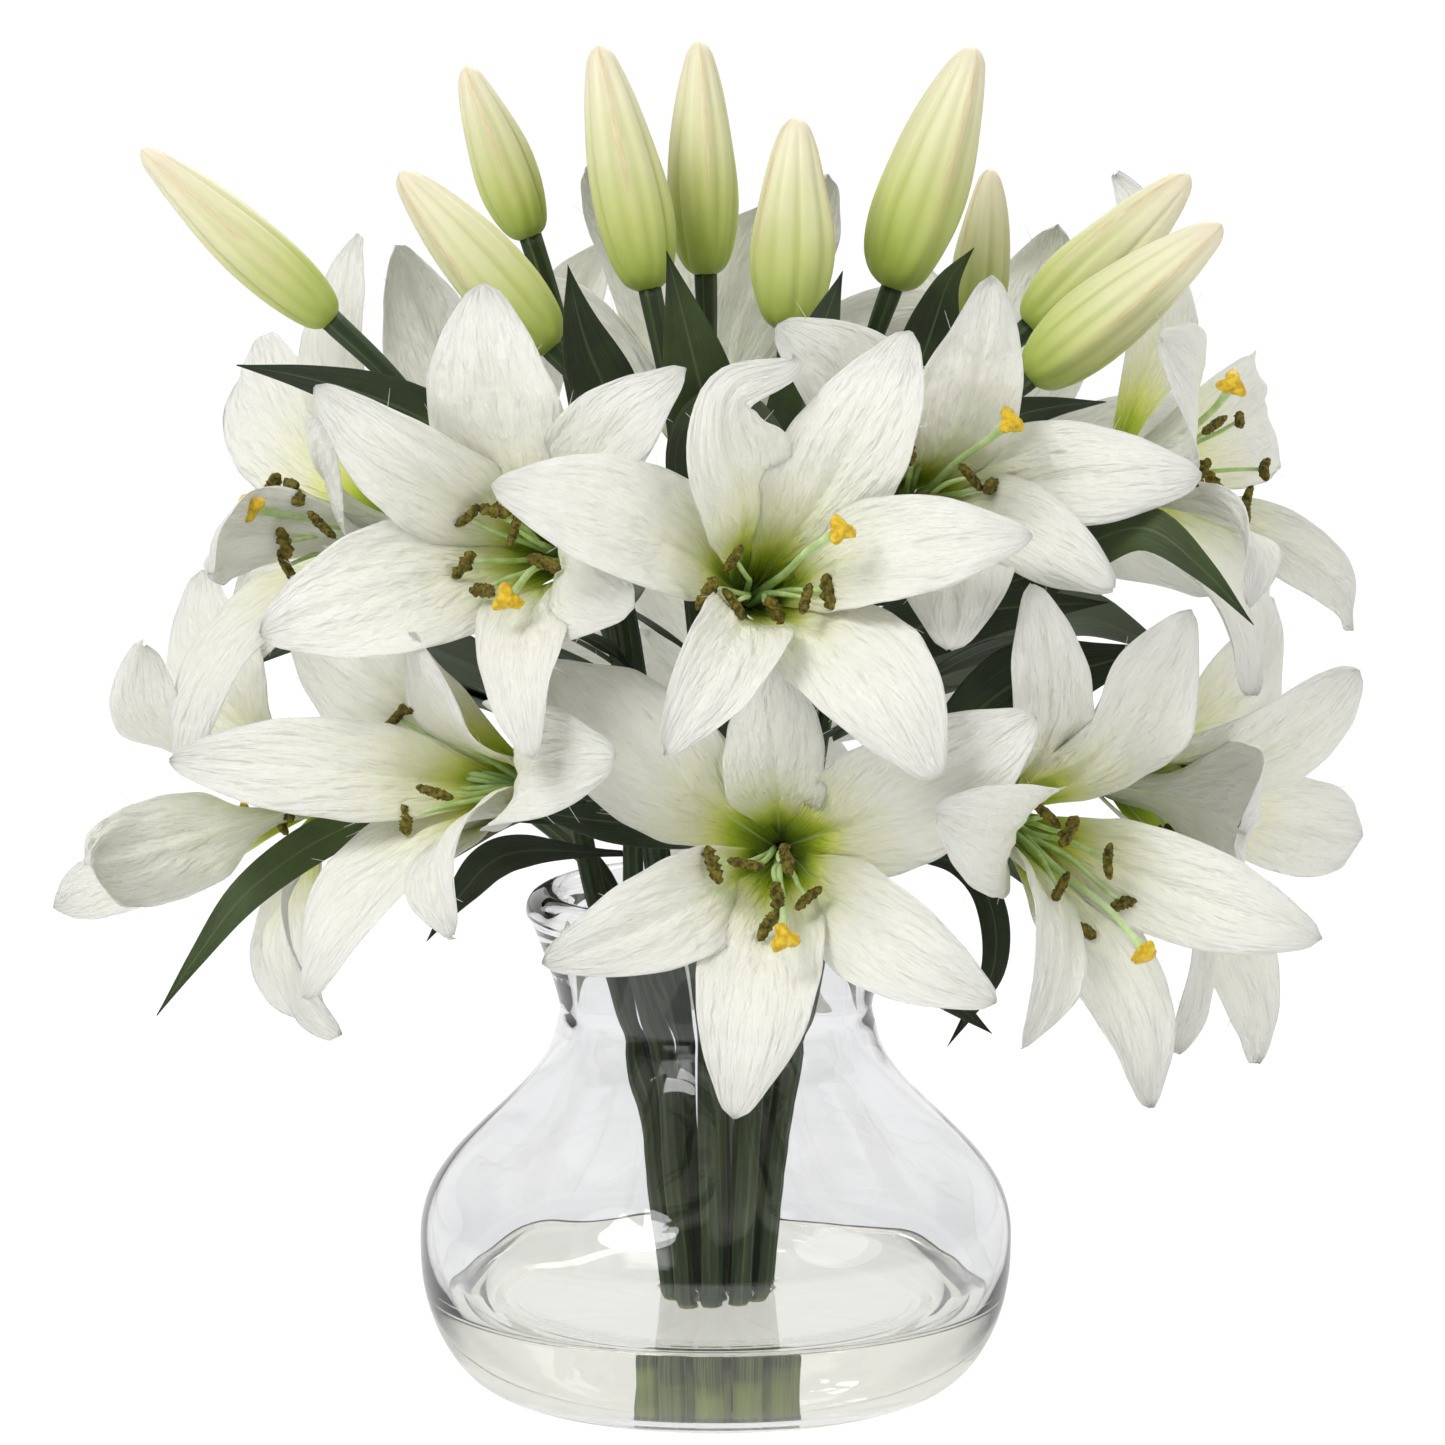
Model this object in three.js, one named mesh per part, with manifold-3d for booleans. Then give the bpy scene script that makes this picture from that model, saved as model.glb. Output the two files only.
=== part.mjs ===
// White lilies on dark green stems in a clear glass vase, with the stems set in clear resin.
// Millimetres, +Z up. The origin is the middle of the vase's flat base, and the front is -Y.

import * as THREE from "three";
import { mergeVertices } from "three/addons/utils/BufferGeometryUtils.js";
import Module from "manifold-3d";

const wasm = await Module();
wasm.setup();

// Vase
const vaseHeight = 149;
const baseWidth = 122;
const bellyWidth = 175;
const bellyHeight = 43;
const neckWidth = 93;
const neckHeight = 117;
const rimWidth = 112;
const rimBead = 6; // radius of the rolled rim
const glassWall = 4;
const vaseFloor = 7;
const roundSides = 36; // flat sides that the glass and the resin are turned with

// Resin that stands for water
const waterLevel = 29;
const fitGap = 0.3; // between pieces that touch
const boreGap = 0.45; // from a stem to the resin round it

// Stems
const stemWidth = 6.4;
const stemSpacing = 0.8; // free space between neighbouring stems where they are bundled tightest
const cutEndHeight = 3; // of the stems' cut ends above the vase's floor
const neckSlack = 13; // from the outer stems to the glass of the neck
const rimSlack = 3; // from the outer stems to the glass at the rim, where they lean outwards
const hiddenStalk = 34; // straight length behind each bloom
const innerShare = 0.42; // radius of the inner ring of stems over that of the outer ring, in the neck
const fanShare = 0.4; // how far the stems have fanned out halfway up to the neck

// Petals, buds and leaves
const hubRadius = 6;
const hubTop = 2;
const hubBottom = 4;
const petalThickness = 1.6;
const petalCurl = 78; // degrees that a petal turns back from its foot to its tip
const sectorShare = 0.92; // of its free sector that a petal fills at most
const innerPetalWidth = 36;
const outerPetalWidth = 27;
const budStalkRadius = 2.2;
const leafThickness = 1.2;
const faceLift = 0.3; // how far leaves face up, over how far they face the front or back

const up = new THREE.Vector3(0, 0, 1);
const radians = THREE.MathUtils.degToRad;

// The ring slot is the side of the bundle that a stem runs up, in degrees from +X towards +Y.
// A bloom's place is measured from the vase's rim, turn is the way it faces round the vase from the front
// towards +X, and lift is how far it looks up. A petal is [degrees round the bloom, lean from the bloom's
// axis, length], counted clockwise from the bloom's own left as someone facing it sees it.
const blooms = [
  {
    at: [10, -70, 97], turn: 14, lift: 22, ring: "inner", slot: -90,
    petals: [[15, 58, 104], [60, 42, 104], [122, 40, 104], [185, 36, 104], [247, 46, 104], [310, 44, 104]],
  },
  {
    at: [18, -66, 23], turn: -2, lift: 2, ring: "outer", slot: -96,
    petals: [[40, 76, 92], [90, 56, 72], [150, 56, 106], [208, 42, 104], [280, 38, 104], [340, 40, 104]],
  },
  {
    at: [-51, -50, 38], turn: -44, lift: 13, ring: "outer", slot: -132,
    petals: [[-10, 30, 114], [36, 58, 96], [92, 30, 76], [170, 52, 90], [224, 38, 102], [280, 42, 102]],
  },
  {
    at: [-43, -42, 104], turn: -20, lift: 12, ring: "inner", slot: 180,
    petals: [[-28, 42, 104], [36, 38, 104], [86, 44, 104], [136, 46, 104], [195, 34, 88], [250, 38, 104]],
  },
  {
    at: [-92, 5, 103], turn: -58, lift: 14, ring: "outer", slot: 192,
    petals: [[-38, 84, 78], [16, 82, 80], [70, 80, 92], [128, 36, 102], [200, 30, 102], [266, 50, 102]],
  },
  {
    at: [-116, 30, 21], turn: -58, lift: -10, ring: "outer", slot: 156,
    petals: [[-22, 56, 100], [48, 78, 92], [108, 46, 100], [160, 27, 102], [214, 62, 100], [275, 80, 70]],
  },
  {
    at: [54, -28, 117], turn: 18, lift: 18, ring: "inner", slot: 0,
    petals: [[-14, 86, 62], [38, 44, 100], [98, 30, 100], [184, 38, 102], [234, 30, 100], [290, 34, 98]],
  },
  {
    at: [116, 15, 119], turn: 52, lift: 14, ring: "outer", slot: 12,
    petals: [[-42, 38, 102], [34, 42, 100], [112, 92, 96], [170, 92, 90], [218, 70, 100], [272, 60, 80]],
  },
  {
    at: [82, -48, 30], turn: 28, lift: -6, ring: "outer", slot: -60,
    petals: [[24, 42, 98], [72, 58, 104], [120, 62, 106], [200, 40, 104], [255, 44, 104], [310, 32, 104]],
  },
  {
    at: [118, 24, 27], turn: 46, lift: -4, ring: "outer", slot: -24,
    petals: [[54, 60, 92], [98, 36, 102], [148, 96, 92], [196, 76, 100], [244, 74, 100], [302, 46, 104]],
  },
  {
    at: [-4, 46, 118], turn: 176, lift: 46, ring: "inner", slot: 90,
    petals: [[0, 50, 100], [60, 48, 100], [120, 48, 100], [180, 50, 100], [240, 50, 100], [300, 50, 100]],
  },
  {
    at: [-52, 68, 92], turn: -146, lift: 26, ring: "outer", slot: 120,
    petals: [[-5, 50, 100], [55, 48, 104], [115, 48, 104], [175, 50, 100], [235, 50, 100], [295, 50, 100]],
  },
  {
    at: [62, 66, 96], turn: 140, lift: 28, ring: "outer", slot: 48,
    petals: [[5, 50, 100], [65, 48, 104], [125, 48, 104], [185, 50, 100], [245, 50, 100], [305, 50, 100]],
  },
  {
    at: [6, 92, 34], turn: 178, lift: 2, ring: "outer", slot: 84,
    petals: [[0, 50, 100], [60, 50, 100], [120, 50, 100], [180, 50, 100], [240, 48, 100], [300, 48, 100]],
  },
];

// A bud grows on a stem, numbered as its bloom is, and leaves it at a height above the vase's rim.
// Its base and tip are measured from the vase's rim too.
const buds = [
  { stem: 5, leaves: 78, base: [-110, -30, 171], tip: [-164, -35, 221], width: 19 },
  { stem: 4, leaves: 88, base: [-47, -22, 162], tip: [-91, -20, 213], width: 22 },
  { stem: 12, leaves: 66, base: [-54, 15, 190], tip: [-73, 20, 240], width: 19 },
  { stem: 11, leaves: 70, base: [-19, -14, 178], tip: [-34, -2, 248], width: 23 },
  { stem: 11, leaves: 84, base: [-3, 15, 179], tip: [-5, 25, 247], width: 21 },
  { stem: 1, leaves: 70, base: [21, -28, 168], tip: [23, -22, 229], width: 24 },
  { stem: 7, leaves: 96, base: [51, 0, 177], tip: [75, 5, 247], width: 26 },
  { stem: 13, leaves: 64, base: [76, 35, 160], tip: [81, 42, 208], width: 17 },
  { stem: 8, leaves: 98, base: [91, 5, 165], tip: [138, 12, 209], width: 22 },
  { stem: 8, leaves: 82, base: [90, -26, 154], tip: [145, -30, 199], width: 23 },
];

// A leaf grows on a stem as a bud does, and bends through two points to its tip.
const leaves = [
  { stem: 4, leaves: 82, through: [[-80, -56, 144], [-109, -70, 158]], tip: [-135, -75, 164], width: 17 },
  { stem: 3, leaves: 22, through: [[-92, -30, 28], [-132, -60, 12]], tip: [-160, -70, -24], width: 18 },
  { stem: 3, leaves: 14, through: [[-60, -66, 22], [-73, -98, 15]], tip: [-81, -112, 6], width: 14 },
  { stem: 2, leaves: 14, through: [[-12, -66, 30], [-32, -84, 35]], tip: [-54, -94, 40], width: 14 },
  { stem: 9, leaves: 10, through: [[42, -60, 6], [62, -86, -12]], tip: [78, -100, -23], width: 13 },
  { stem: 9, leaves: 18, through: [[74, -54, 14], [80, -68, -8]], tip: [66, -76, -32], width: 12 },
  { stem: 7, leaves: 70, through: [[50, -58, 84], [78, -74, 94]], tip: [111, -80, 97], width: 19 },
  { stem: 7, leaves: 84, through: [[84, -50, 98], [122, -80, 118]], tip: [151, -95, 93], width: 16 },
  { stem: 9, leaves: 24, through: [[84, -40, 66], [105, -66, 76]], tip: [127, -76, 84], width: 20 },
  { stem: 1, leaves: 60, through: [[44, -76, 76], [56, -100, 74]], tip: [53, -112, 62], width: 15 },
  { stem: 1, leaves: 72, through: [[-4, -54, 142], [10, -78, 148]], tip: [28, -92, 130], width: 18 },
  { stem: 4, leaves: 94, through: [[-30, -34, 146], [-38, -48, 170]], tip: [-42, -54, 190], width: 19 },
  { stem: 8, leaves: 58, through: [[80, -40, 140], [95, -60, 150]], tip: [110, -70, 153], width: 15 },
  { stem: 7, leaves: 104, through: [[62, -14, 165], [67, -24, 182]], tip: [74, -28, 192], width: 16 },
  { stem: 1, leaves: 76, through: [[-2, -44, 140], [-8, -52, 170]], tip: [-14, -54, 194], width: 21 },
  { stem: 1, leaves: 78, through: [[22, -44, 134], [28, -52, 164]], tip: [36, -52, 188], width: 21 },
  { stem: 14, leaves: 10, through: [[-40, 88, 10], [-62, 118, 6]], tip: [-92, 132, -22], width: 19 },
  { stem: 14, leaves: 16, through: [[48, 84, 8], [74, 112, 2]], tip: [100, 124, -26], width: 19 },
  { stem: 12, leaves: 40, through: [[-84, 70, 60], [-112, 94, 66]], tip: [-140, 106, 50], width: 20 },
  { stem: 13, leaves: 40, through: [[84, 72, 60], [112, 94, 66]], tip: [140, 106, 52], width: 20 },
];

function fromRim(place) {
  return new THREE.Vector3(place[0], place[1], vaseHeight + place[2]);
}

// A closed body through rings of equally many points: flat at its first ring, and ending in the point tip.
function loftToTip(rings, tip) {
  const points = [...rings.flat(), tip];
  const count = rings[0].length;
  const faces = [];
  for (let k = 2; k < count; k++) {
    faces.push(0, k, k - 1);
  }
  addSides(faces, rings.map((ring, i) => ring.map((point, k) => i * count + k)), points.length - 1);
  return closedBody(points, faces);
}

// Side faces between rings of point numbers, with the last ring drawn together in one point. The two
// broad sides of a flat section are split along the same diagonal, so that they can't cross in a twist.
function addSides(faces, rings, tip) {
  const count = rings[0].length;
  for (let i = 0; i + 1 < rings.length; i++) {
    for (let k = 0; k < count; k++) {
      const next = (k + 1) % count;
      const [a, b, c, d] = [rings[i][k], rings[i][next], rings[i + 1][next], rings[i + 1][k]];
      if (k < count / 2) {
        faces.push(a, b, c, a, c, d);
      } else {
        faces.push(a, b, d, b, c, d);
      }
    }
  }
  const last = rings[rings.length - 1];
  for (let k = 0; k < count; k++) {
    faces.push(last[k], last[(k + 1) % count], tip);
  }
}

// Indexed geometry with its faces turned outwards.
function closedBody(points, faces) {
  let volume = 0;
  for (let i = 0; i < faces.length; i += 3) {
    const [a, b, c] = [points[faces[i]], points[faces[i + 1]], points[faces[i + 2]]];
    volume += a.dot(b.clone().cross(c));
  }
  if (volume < 0) {
    faces.reverse();
  }
  return new THREE.BufferGeometry().setFromPoints(points).setIndex(faces);
}

// Points of the glass from the base's edge up to the neck: a quarter ellipse below the belly, and a
// double bend from the belly to the neck. A positive inset gives the same line inside the wall.
function bodyLine(inset) {
  const line = [];
  const base = baseWidth / 2 - inset;
  const belly = bellyWidth / 2 - inset;
  const neck = neckWidth / 2 - inset;
  const start = inset > 0 ? vaseFloor : 0;
  const lowerSteps = 6;
  for (let i = 0; i < lowerSteps; i++) {
    const angle = (i / lowerSteps) * (Math.PI / 2);
    const height = start + (bellyHeight - start) * (1 - Math.cos(angle));
    line.push(new THREE.Vector2(base + (belly - base) * Math.sin(angle), height));
  }
  const upperSteps = 9;
  for (let i = 0; i <= upperSteps; i++) {
    const share = i / upperSteps;
    const height = bellyHeight + (neckHeight - bellyHeight) * share;
    line.push(new THREE.Vector2(belly + (neck - belly) * THREE.MathUtils.smootherstep(share, 0, 1), height));
  }
  return line;
}

function makeVase() {
  const rimCentre = new THREE.Vector2(rimWidth / 2 - rimBead, vaseHeight - rimBead);
  const profile = [new THREE.Vector2(0, 0), ...bodyLine(0)];
  const beadSteps = 7;
  const beadStart = radians(-50);
  const beadEnd = radians(180);
  for (let i = 0; i <= beadSteps; i++) {
    const angle = beadStart + ((beadEnd - beadStart) * i) / beadSteps;
    const offset = new THREE.Vector2(Math.cos(angle), Math.sin(angle)).multiplyScalar(rimBead);
    profile.push(rimCentre.clone().add(offset));
  }
  profile.push(...bodyLine(glassWall).reverse(), new THREE.Vector2(0, vaseFloor));
  return new THREE.LatheGeometry(profile, roundSides).rotateX(Math.PI / 2);
}

// Radius inside the glass at a height below the belly.
function innerRadius(height) {
  const base = baseWidth / 2 - glassWall;
  const belly = bellyWidth / 2 - glassWall;
  const share = 1 - (height - vaseFloor) / (bellyHeight - vaseFloor);
  return base + (belly - base) * Math.sqrt(Math.max(0, 1 - share * share));
}

function asSolid(geometry) {
  const bare = geometry.clone();
  bare.deleteAttribute("normal");
  bare.deleteAttribute("uv");
  const merged = mergeVertices(bare, 1e-4);
  return new wasm.Manifold(
    new wasm.Mesh({
      numProp: 3,
      vertProperties: merged.attributes.position.array,
      triVerts: new Uint32Array(merged.index.array),
    }),
  );
}

function asGeometry(solid) {
  const mesh = solid.getMesh();
  return new THREE.BufferGeometry()
    .setAttribute("position", new THREE.BufferAttribute(mesh.vertProperties, 3))
    .setIndex(new THREE.BufferAttribute(mesh.triVerts, 1));
}

// Resin: the inside of the vase up to the water level, with a bore for each stem.
function makeWater() {
  const bottom = vaseFloor + fitGap;
  const profile = [new THREE.Vector2(0, bottom)];
  const steps = 4;
  for (let i = 0; i <= steps; i++) {
    const height = bottom + ((waterLevel - bottom) * i) / steps;
    profile.push(new THREE.Vector2(innerRadius(height - fitGap) - 2 * fitGap, height));
  }
  profile.push(new THREE.Vector2(0, waterLevel));
  let resin = asSolid(new THREE.LatheGeometry(profile, roundSides).rotateX(Math.PI / 2));
  for (const bloom of blooms) {
    resin = resin.subtract(asSolid(tube(stemCurve(bloom, fitGap), stemWidth / 2 + boreGap)));
  }
  return asGeometry(resin);
}

// A bloom's own directions: along its axis, to its left as seen from the front, and up.
function bloomAxes(bloom) {
  const turn = radians(bloom.turn);
  const lift = radians(bloom.lift);
  const axis = new THREE.Vector3(
    Math.sin(turn) * Math.cos(lift),
    -Math.cos(turn) * Math.cos(lift),
    Math.sin(lift),
  );
  const left = axis.clone().cross(up).normalize();
  return { axis, left, top: left.clone().cross(axis) };
}

// Radius of the rings on which the stems stand: at the cut ends, in the neck and at the rim.
function ringRadius(ring) {
  const pitch = stemWidth + stemSpacing;
  const inner = pitch / Math.SQRT2;
  const free = neckWidth / 2 - glassWall - stemWidth / 2;
  if (ring === "inner") {
    return { foot: inner, neck: innerShare * (free - neckSlack), rim: innerShare * (free - rimSlack) };
  }
  return { foot: inner + pitch, neck: free - neckSlack, rim: free - rimSlack };
}

// A stem runs from its cut end through the neck and turns into line behind its bloom.
function stemCurve(bloom, lower = 0) {
  const { axis } = bloomAxes(bloom);
  const hub = fromRim(bloom.at);
  const radius = ringRadius(bloom.ring);
  const slot = radians(bloom.slot);
  const onRing = (r, height) => new THREE.Vector3(r * Math.cos(slot), r * Math.sin(slot), height);
  const foot = vaseFloor + cutEndHeight;
  const halfway = radius.foot + (radius.neck - radius.foot) * fanShare;
  return new THREE.CatmullRomCurve3([
    onRing(radius.foot, foot - lower),
    onRing(halfway, (foot + neckHeight) / 2),
    onRing(radius.neck, neckHeight),
    onRing(radius.rim, vaseHeight),
    hub.clone().addScaledVector(axis, -hubBottom - hiddenStalk),
    hub.clone().addScaledVector(axis, -hubBottom - fitGap),
  ]);
}

function tube(curve, radius) {
  const sides = 8;
  const section = new THREE.Shape();
  for (let k = 0; k < sides; k++) {
    const angle = (2 * Math.PI * k) / sides;
    const x = radius * Math.cos(angle);
    const y = radius * Math.sin(angle);
    if (k === 0) {
      section.moveTo(x, y);
    } else {
      section.lineTo(x, y);
    }
  }
  return new THREE.ExtrudeGeometry(section, { steps: 12, bevelEnabled: false, extrudePath: curve });
}

// The four corners of a flat section of a petal or leaf.
function flatSection(centre, across, normal, width, thickness) {
  const side = across.clone().multiplyScalar(width / 2);
  const face = normal.clone().multiplyScalar(thickness / 2);
  return [
    centre.clone().sub(side).add(face),
    centre.clone().add(side).add(face),
    centre.clone().add(side).sub(face),
    centre.clone().sub(side).sub(face),
  ];
}

// Middle line of a petal in the plane of the bloom's axis and the petal's outward direction: it leaves
// the throat close to the axis and curls back more and more towards its tip.
function petalStation(bloom, petal, share) {
  const { axis, left, top } = bloomAxes(bloom);
  const [around, lean, length] = petal;
  const out = left.multiplyScalar(Math.cos(radians(around))).addScaledVector(top, Math.sin(radians(around)));
  const steps = 40;
  const place = fromRim(bloom.at).addScaledVector(out, hubRadius);
  let angle = 0;
  for (let i = 0; i < steps; i++) {
    const along = (share * (i + 0.5)) / steps;
    angle = radians(lean + petalCurl * (along ** 1.5 - 0.4)); // lean is reached about halfway along
    place.addScaledVector(axis, (Math.cos(angle) * length * share) / steps);
    place.addScaledVector(out, (Math.sin(angle) * length * share) / steps);
  }
  const normal = axis.clone().multiplyScalar(Math.sin(angle)).addScaledVector(out, -Math.cos(angle));
  const radius = place.clone().sub(fromRim(bloom.at)).dot(out);
  return { place, normal, across: out.clone().cross(axis), radius };
}

// Six petals round a flat hub, in one closed body. Inner and outer petals take turns, and each petal
// keeps to its own sector, so that neighbours never meet.
function makeBloom(bloom) {
  const { axis, left, top } = bloomAxes(bloom);
  const hub = fromRim(bloom.at);
  const petals = bloom.petals;
  const count = petals.length;
  const gapAfter = petals.map((petal, k) => {
    const next = petals[(k + 1) % count][0] + (k + 1 === count ? 360 : 0);
    return next - petal[0];
  });
  const points = [];
  const faces = [];
  for (const height of [hubTop, -hubBottom]) {
    for (let k = 0; k < count; k++) {
      const corner = radians(petals[k][0] + gapAfter[k] / 2);
      const point = hub.clone().addScaledVector(axis, height);
      point.addScaledVector(left, hubRadius * Math.cos(corner));
      point.addScaledVector(top, hubRadius * Math.sin(corner));
      points.push(point);
    }
  }
  points.push(hub.clone().addScaledVector(axis, hubTop), hub.clone().addScaledVector(axis, -hubBottom));
  const stations = 6;
  for (let k = 0; k < count; k++) {
    const before = (k + count - 1) % count;
    const sector = Math.min(gapAfter[k], gapAfter[before]);
    const fullWidth = k % 2 ? innerPetalWidth : outerPetalWidth;
    const rings = [[before, k, count + k, count + before]];
    for (let i = 1; i < stations; i++) {
      const share = i / stations;
      const { place, normal, across, radius } = petalStation(bloom, petals[k], share);
      const free = 2 * sectorShare * (radius - petalThickness / 2) * Math.tan(radians(sector / 2));
      const width = Math.min(fullWidth * Math.sin(Math.PI * share ** 0.85) ** 0.8, free);
      rings.push([0, 1, 2, 3].map((corner) => points.length + corner));
      points.push(...flatSection(place, across, normal, width, petalThickness));
    }
    addSides(faces, rings, points.length);
    points.push(petalStation(bloom, petals[k], 1).place);
    faces.push(2 * count, k, before);
    faces.push(2 * count + 1, count + before, count + k);
  }
  return closedBody(points, faces);
}

// Where a bud's stalk or a leaf leaves its stem: clear of the stem's surface on the side of its target.
function leavingPoint(growth, target, halfThickness) {
  const curve = stemCurve(blooms[growth.stem - 1]);
  const steps = 400;
  let share = 0;
  while (share < 1 && curve.getPointAt(share).z < vaseHeight + growth.leaves) {
    share += 1 / steps;
  }
  const start = curve.getPointAt(Math.min(share, 1));
  const along = curve.getTangentAt(Math.min(share, 1));
  const away = target.clone().sub(start);
  away.addScaledVector(along, -away.dot(along)).normalize();
  return start.addScaledVector(away, stemWidth / 2 + 2 * fitGap + halfThickness);
}

// Place and directions across a curve at a share of its length. The normal faces the front and a little
// up in the front half of the bouquet, and the back and a little up in the back half.
function facingFrame(curve, share) {
  const place = curve.getPointAt(share);
  const along = curve.getTangentAt(share);
  const facing = new THREE.Vector3(0, Math.sign(curve.getPointAt(0.5).y), 0).addScaledVector(up, faceLift);
  const across = along.clone().cross(facing).normalize();
  return { place, across, normal: across.clone().cross(along) };
}

// A thin stalk that swells into a pointed bud.
function makeBud(bud) {
  const base = fromRim(bud.base);
  const tip = fromRim(bud.tip);
  const start = leavingPoint(bud, base, budStalkRadius);
  const neck = base.clone().addScaledVector(tip.clone().sub(base), -0.3);
  const curve = new THREE.CatmullRomCurve3([start, neck, base, tip]);
  const budShare = base.distanceTo(tip) / curve.getLength();
  const stalkShares = [0, 0.25, 0.5, 0.75, 1].map((share) => share * (1 - budShare));
  const budShares = [0.12, 0.3, 0.5, 0.7, 0.88].map((share) => 1 - budShare + share * budShare);
  const sides = 6;
  const rings = [...stalkShares, ...budShares].map((share) => {
    const { place, across, normal } = facingFrame(curve, share);
    const swell = Math.max(0, (share - 1 + budShare) / budShare);
    const fullness = Math.sin(Math.PI * swell ** 0.8) ** 0.75;
    const radius = budStalkRadius + (bud.width / 2 - budStalkRadius) * fullness;
    return Array.from({ length: sides }, (_, k) => {
      const angle = (2 * Math.PI * k) / sides;
      const point = place.clone().addScaledVector(across, radius * Math.cos(angle));
      return point.addScaledVector(normal, radius * Math.sin(angle));
    });
  });
  return loftToTip(rings, tip);
}

function makeLeaf(leaf) {
  const through = leaf.through.map(fromRim);
  const tip = fromRim(leaf.tip);
  const start = leavingPoint(leaf, through[0], leafThickness);
  const curve = new THREE.CatmullRomCurve3([start, ...through, tip]);
  const footWidth = 2.4;
  const stations = 8;
  const rings = [];
  for (let i = 0; i < stations; i++) {
    const share = i / stations;
    const { place, across, normal } = facingFrame(curve, share);
    const width = footWidth + (leaf.width - footWidth) * Math.sin(Math.PI * share ** 1.5) ** 0.9;
    rings.push(flatSection(place, across, normal, width, leafThickness));
  }
  return loftToTip(rings, tip);
}

const glass = new THREE.MeshStandardMaterial({ color: 0xe8eef0, roughness: 0.05, opacity: 0.35 });
glass.transparent = true;
const resin = new THREE.MeshStandardMaterial({ color: 0xf2f0dc, roughness: 0.1, opacity: 0.4 });
resin.transparent = true;
const stemGreen = new THREE.MeshStandardMaterial({ color: 0x3c5530, roughness: 0.55 });
const leafGreen = new THREE.MeshStandardMaterial({ color: 0x25402a, roughness: 0.5 });
const petalWhite = new THREE.MeshStandardMaterial({ color: 0xf2f1e8, roughness: 0.7 });
const budCream = new THREE.MeshStandardMaterial({ color: 0xd8dcae, roughness: 0.55 });

const group = new THREE.Group();

function addPiece(name, geometry, material) {
  const mesh = new THREE.Mesh(geometry, material.clone());
  mesh.name = name;
  group.add(mesh);
}

function numbered(kind, index) {
  return kind + "_" + String(index + 1).padStart(2, "0");
}

addPiece("vase", makeVase(), glass);
addPiece("water", makeWater(), resin);
blooms.forEach((bloom, i) => {
  addPiece(numbered("stem", i), tube(stemCurve(bloom), stemWidth / 2), stemGreen);
  addPiece(numbered("bloom", i), makeBloom(bloom), petalWhite);
});
buds.forEach((bud, i) => addPiece(numbered("bud", i), makeBud(bud), budCream));
leaves.forEach((leaf, i) => addPiece(numbered("leaf", i), makeLeaf(leaf), leafGreen));

export default group;
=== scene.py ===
import math

import bmesh
import bpy
import numpy as np
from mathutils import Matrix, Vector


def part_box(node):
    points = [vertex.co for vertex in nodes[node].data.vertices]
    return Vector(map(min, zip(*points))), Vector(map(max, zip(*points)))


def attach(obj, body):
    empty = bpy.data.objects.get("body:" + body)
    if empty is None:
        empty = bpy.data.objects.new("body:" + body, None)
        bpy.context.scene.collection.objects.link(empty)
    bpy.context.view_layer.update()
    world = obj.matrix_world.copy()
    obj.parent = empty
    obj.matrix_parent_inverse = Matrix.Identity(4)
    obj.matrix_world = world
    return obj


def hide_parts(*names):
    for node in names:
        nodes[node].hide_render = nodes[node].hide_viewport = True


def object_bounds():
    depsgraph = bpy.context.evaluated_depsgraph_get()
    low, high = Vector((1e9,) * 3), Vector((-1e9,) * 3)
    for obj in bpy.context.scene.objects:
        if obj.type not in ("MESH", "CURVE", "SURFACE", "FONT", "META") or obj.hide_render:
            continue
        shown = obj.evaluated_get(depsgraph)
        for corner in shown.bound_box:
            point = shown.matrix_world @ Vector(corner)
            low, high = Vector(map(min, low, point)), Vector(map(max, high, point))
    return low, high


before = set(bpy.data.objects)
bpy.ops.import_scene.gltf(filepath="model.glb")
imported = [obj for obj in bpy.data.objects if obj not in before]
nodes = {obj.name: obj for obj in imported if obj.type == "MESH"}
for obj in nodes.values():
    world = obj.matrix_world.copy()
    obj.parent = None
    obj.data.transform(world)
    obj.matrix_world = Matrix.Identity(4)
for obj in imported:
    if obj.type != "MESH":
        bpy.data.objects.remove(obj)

# White cloth lilies on dark green stems, set in clear resin in a glass vase.
# Metres, Z up, the front of the bouquet faces -Y.

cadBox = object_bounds()
mm = 0.001
up = np.array([0.0, 0.0, 1.0])
print("frame loaded,", len(nodes), "nodes")

# where each kind of piece starts its own repeatable random draws
seeds = {"glass": 11, "stem": 100, "petal": 1000, "stamen": 5000, "bud": 7000, "leaf": 9000, "sprig": 12000}


def numbered(kind):
    return sorted(name for name in nodes if name.startswith(kind + "_"))


def welded(name):
    # places of a node's corners, and which corners share an edge
    work = bmesh.new()
    work.from_mesh(nodes[name].data)
    bmesh.ops.remove_doubles(work, verts=work.verts, dist=0.02 * mm)
    work.verts.ensure_lookup_table()
    places = np.array([v.co[:] for v in work.verts])
    near = [[e.other_vert(v).index for e in v.link_edges] for v in work.verts]
    work.free()
    return places, near


def ringsFrom(start, near, size):
    # walks away from the start corners, one ring of exactly size corners at a time
    seen = set(start)
    ring = list(start)
    rings = []
    while True:
        ring = sorted({n for p in ring for n in near[p]} - seen)
        if len(ring) != size:
            return rings
        seen.update(ring)
        rings.append(ring)


def fromTip(name, size):
    # a piece's corners, its tip and the rings from there: of the corners whose walk gives the most
    # rings, the tip is the one that stands farthest from the next ring
    places, near = welded(name)
    starts = [i for i, friends in enumerate(near) if len(friends) == size]
    walks = [(len(ringsFrom([i], near, size)), min(np.linalg.norm(places[near[i]] - places[i], axis=1)), i)
             for i in starts]
    tip = max(walks)[2]
    return places, tip, ringsFrom([tip], near, size)


def unit(v):
    return v / np.maximum(np.linalg.norm(v, axis=-1, keepdims=True), 1e-12)


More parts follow.
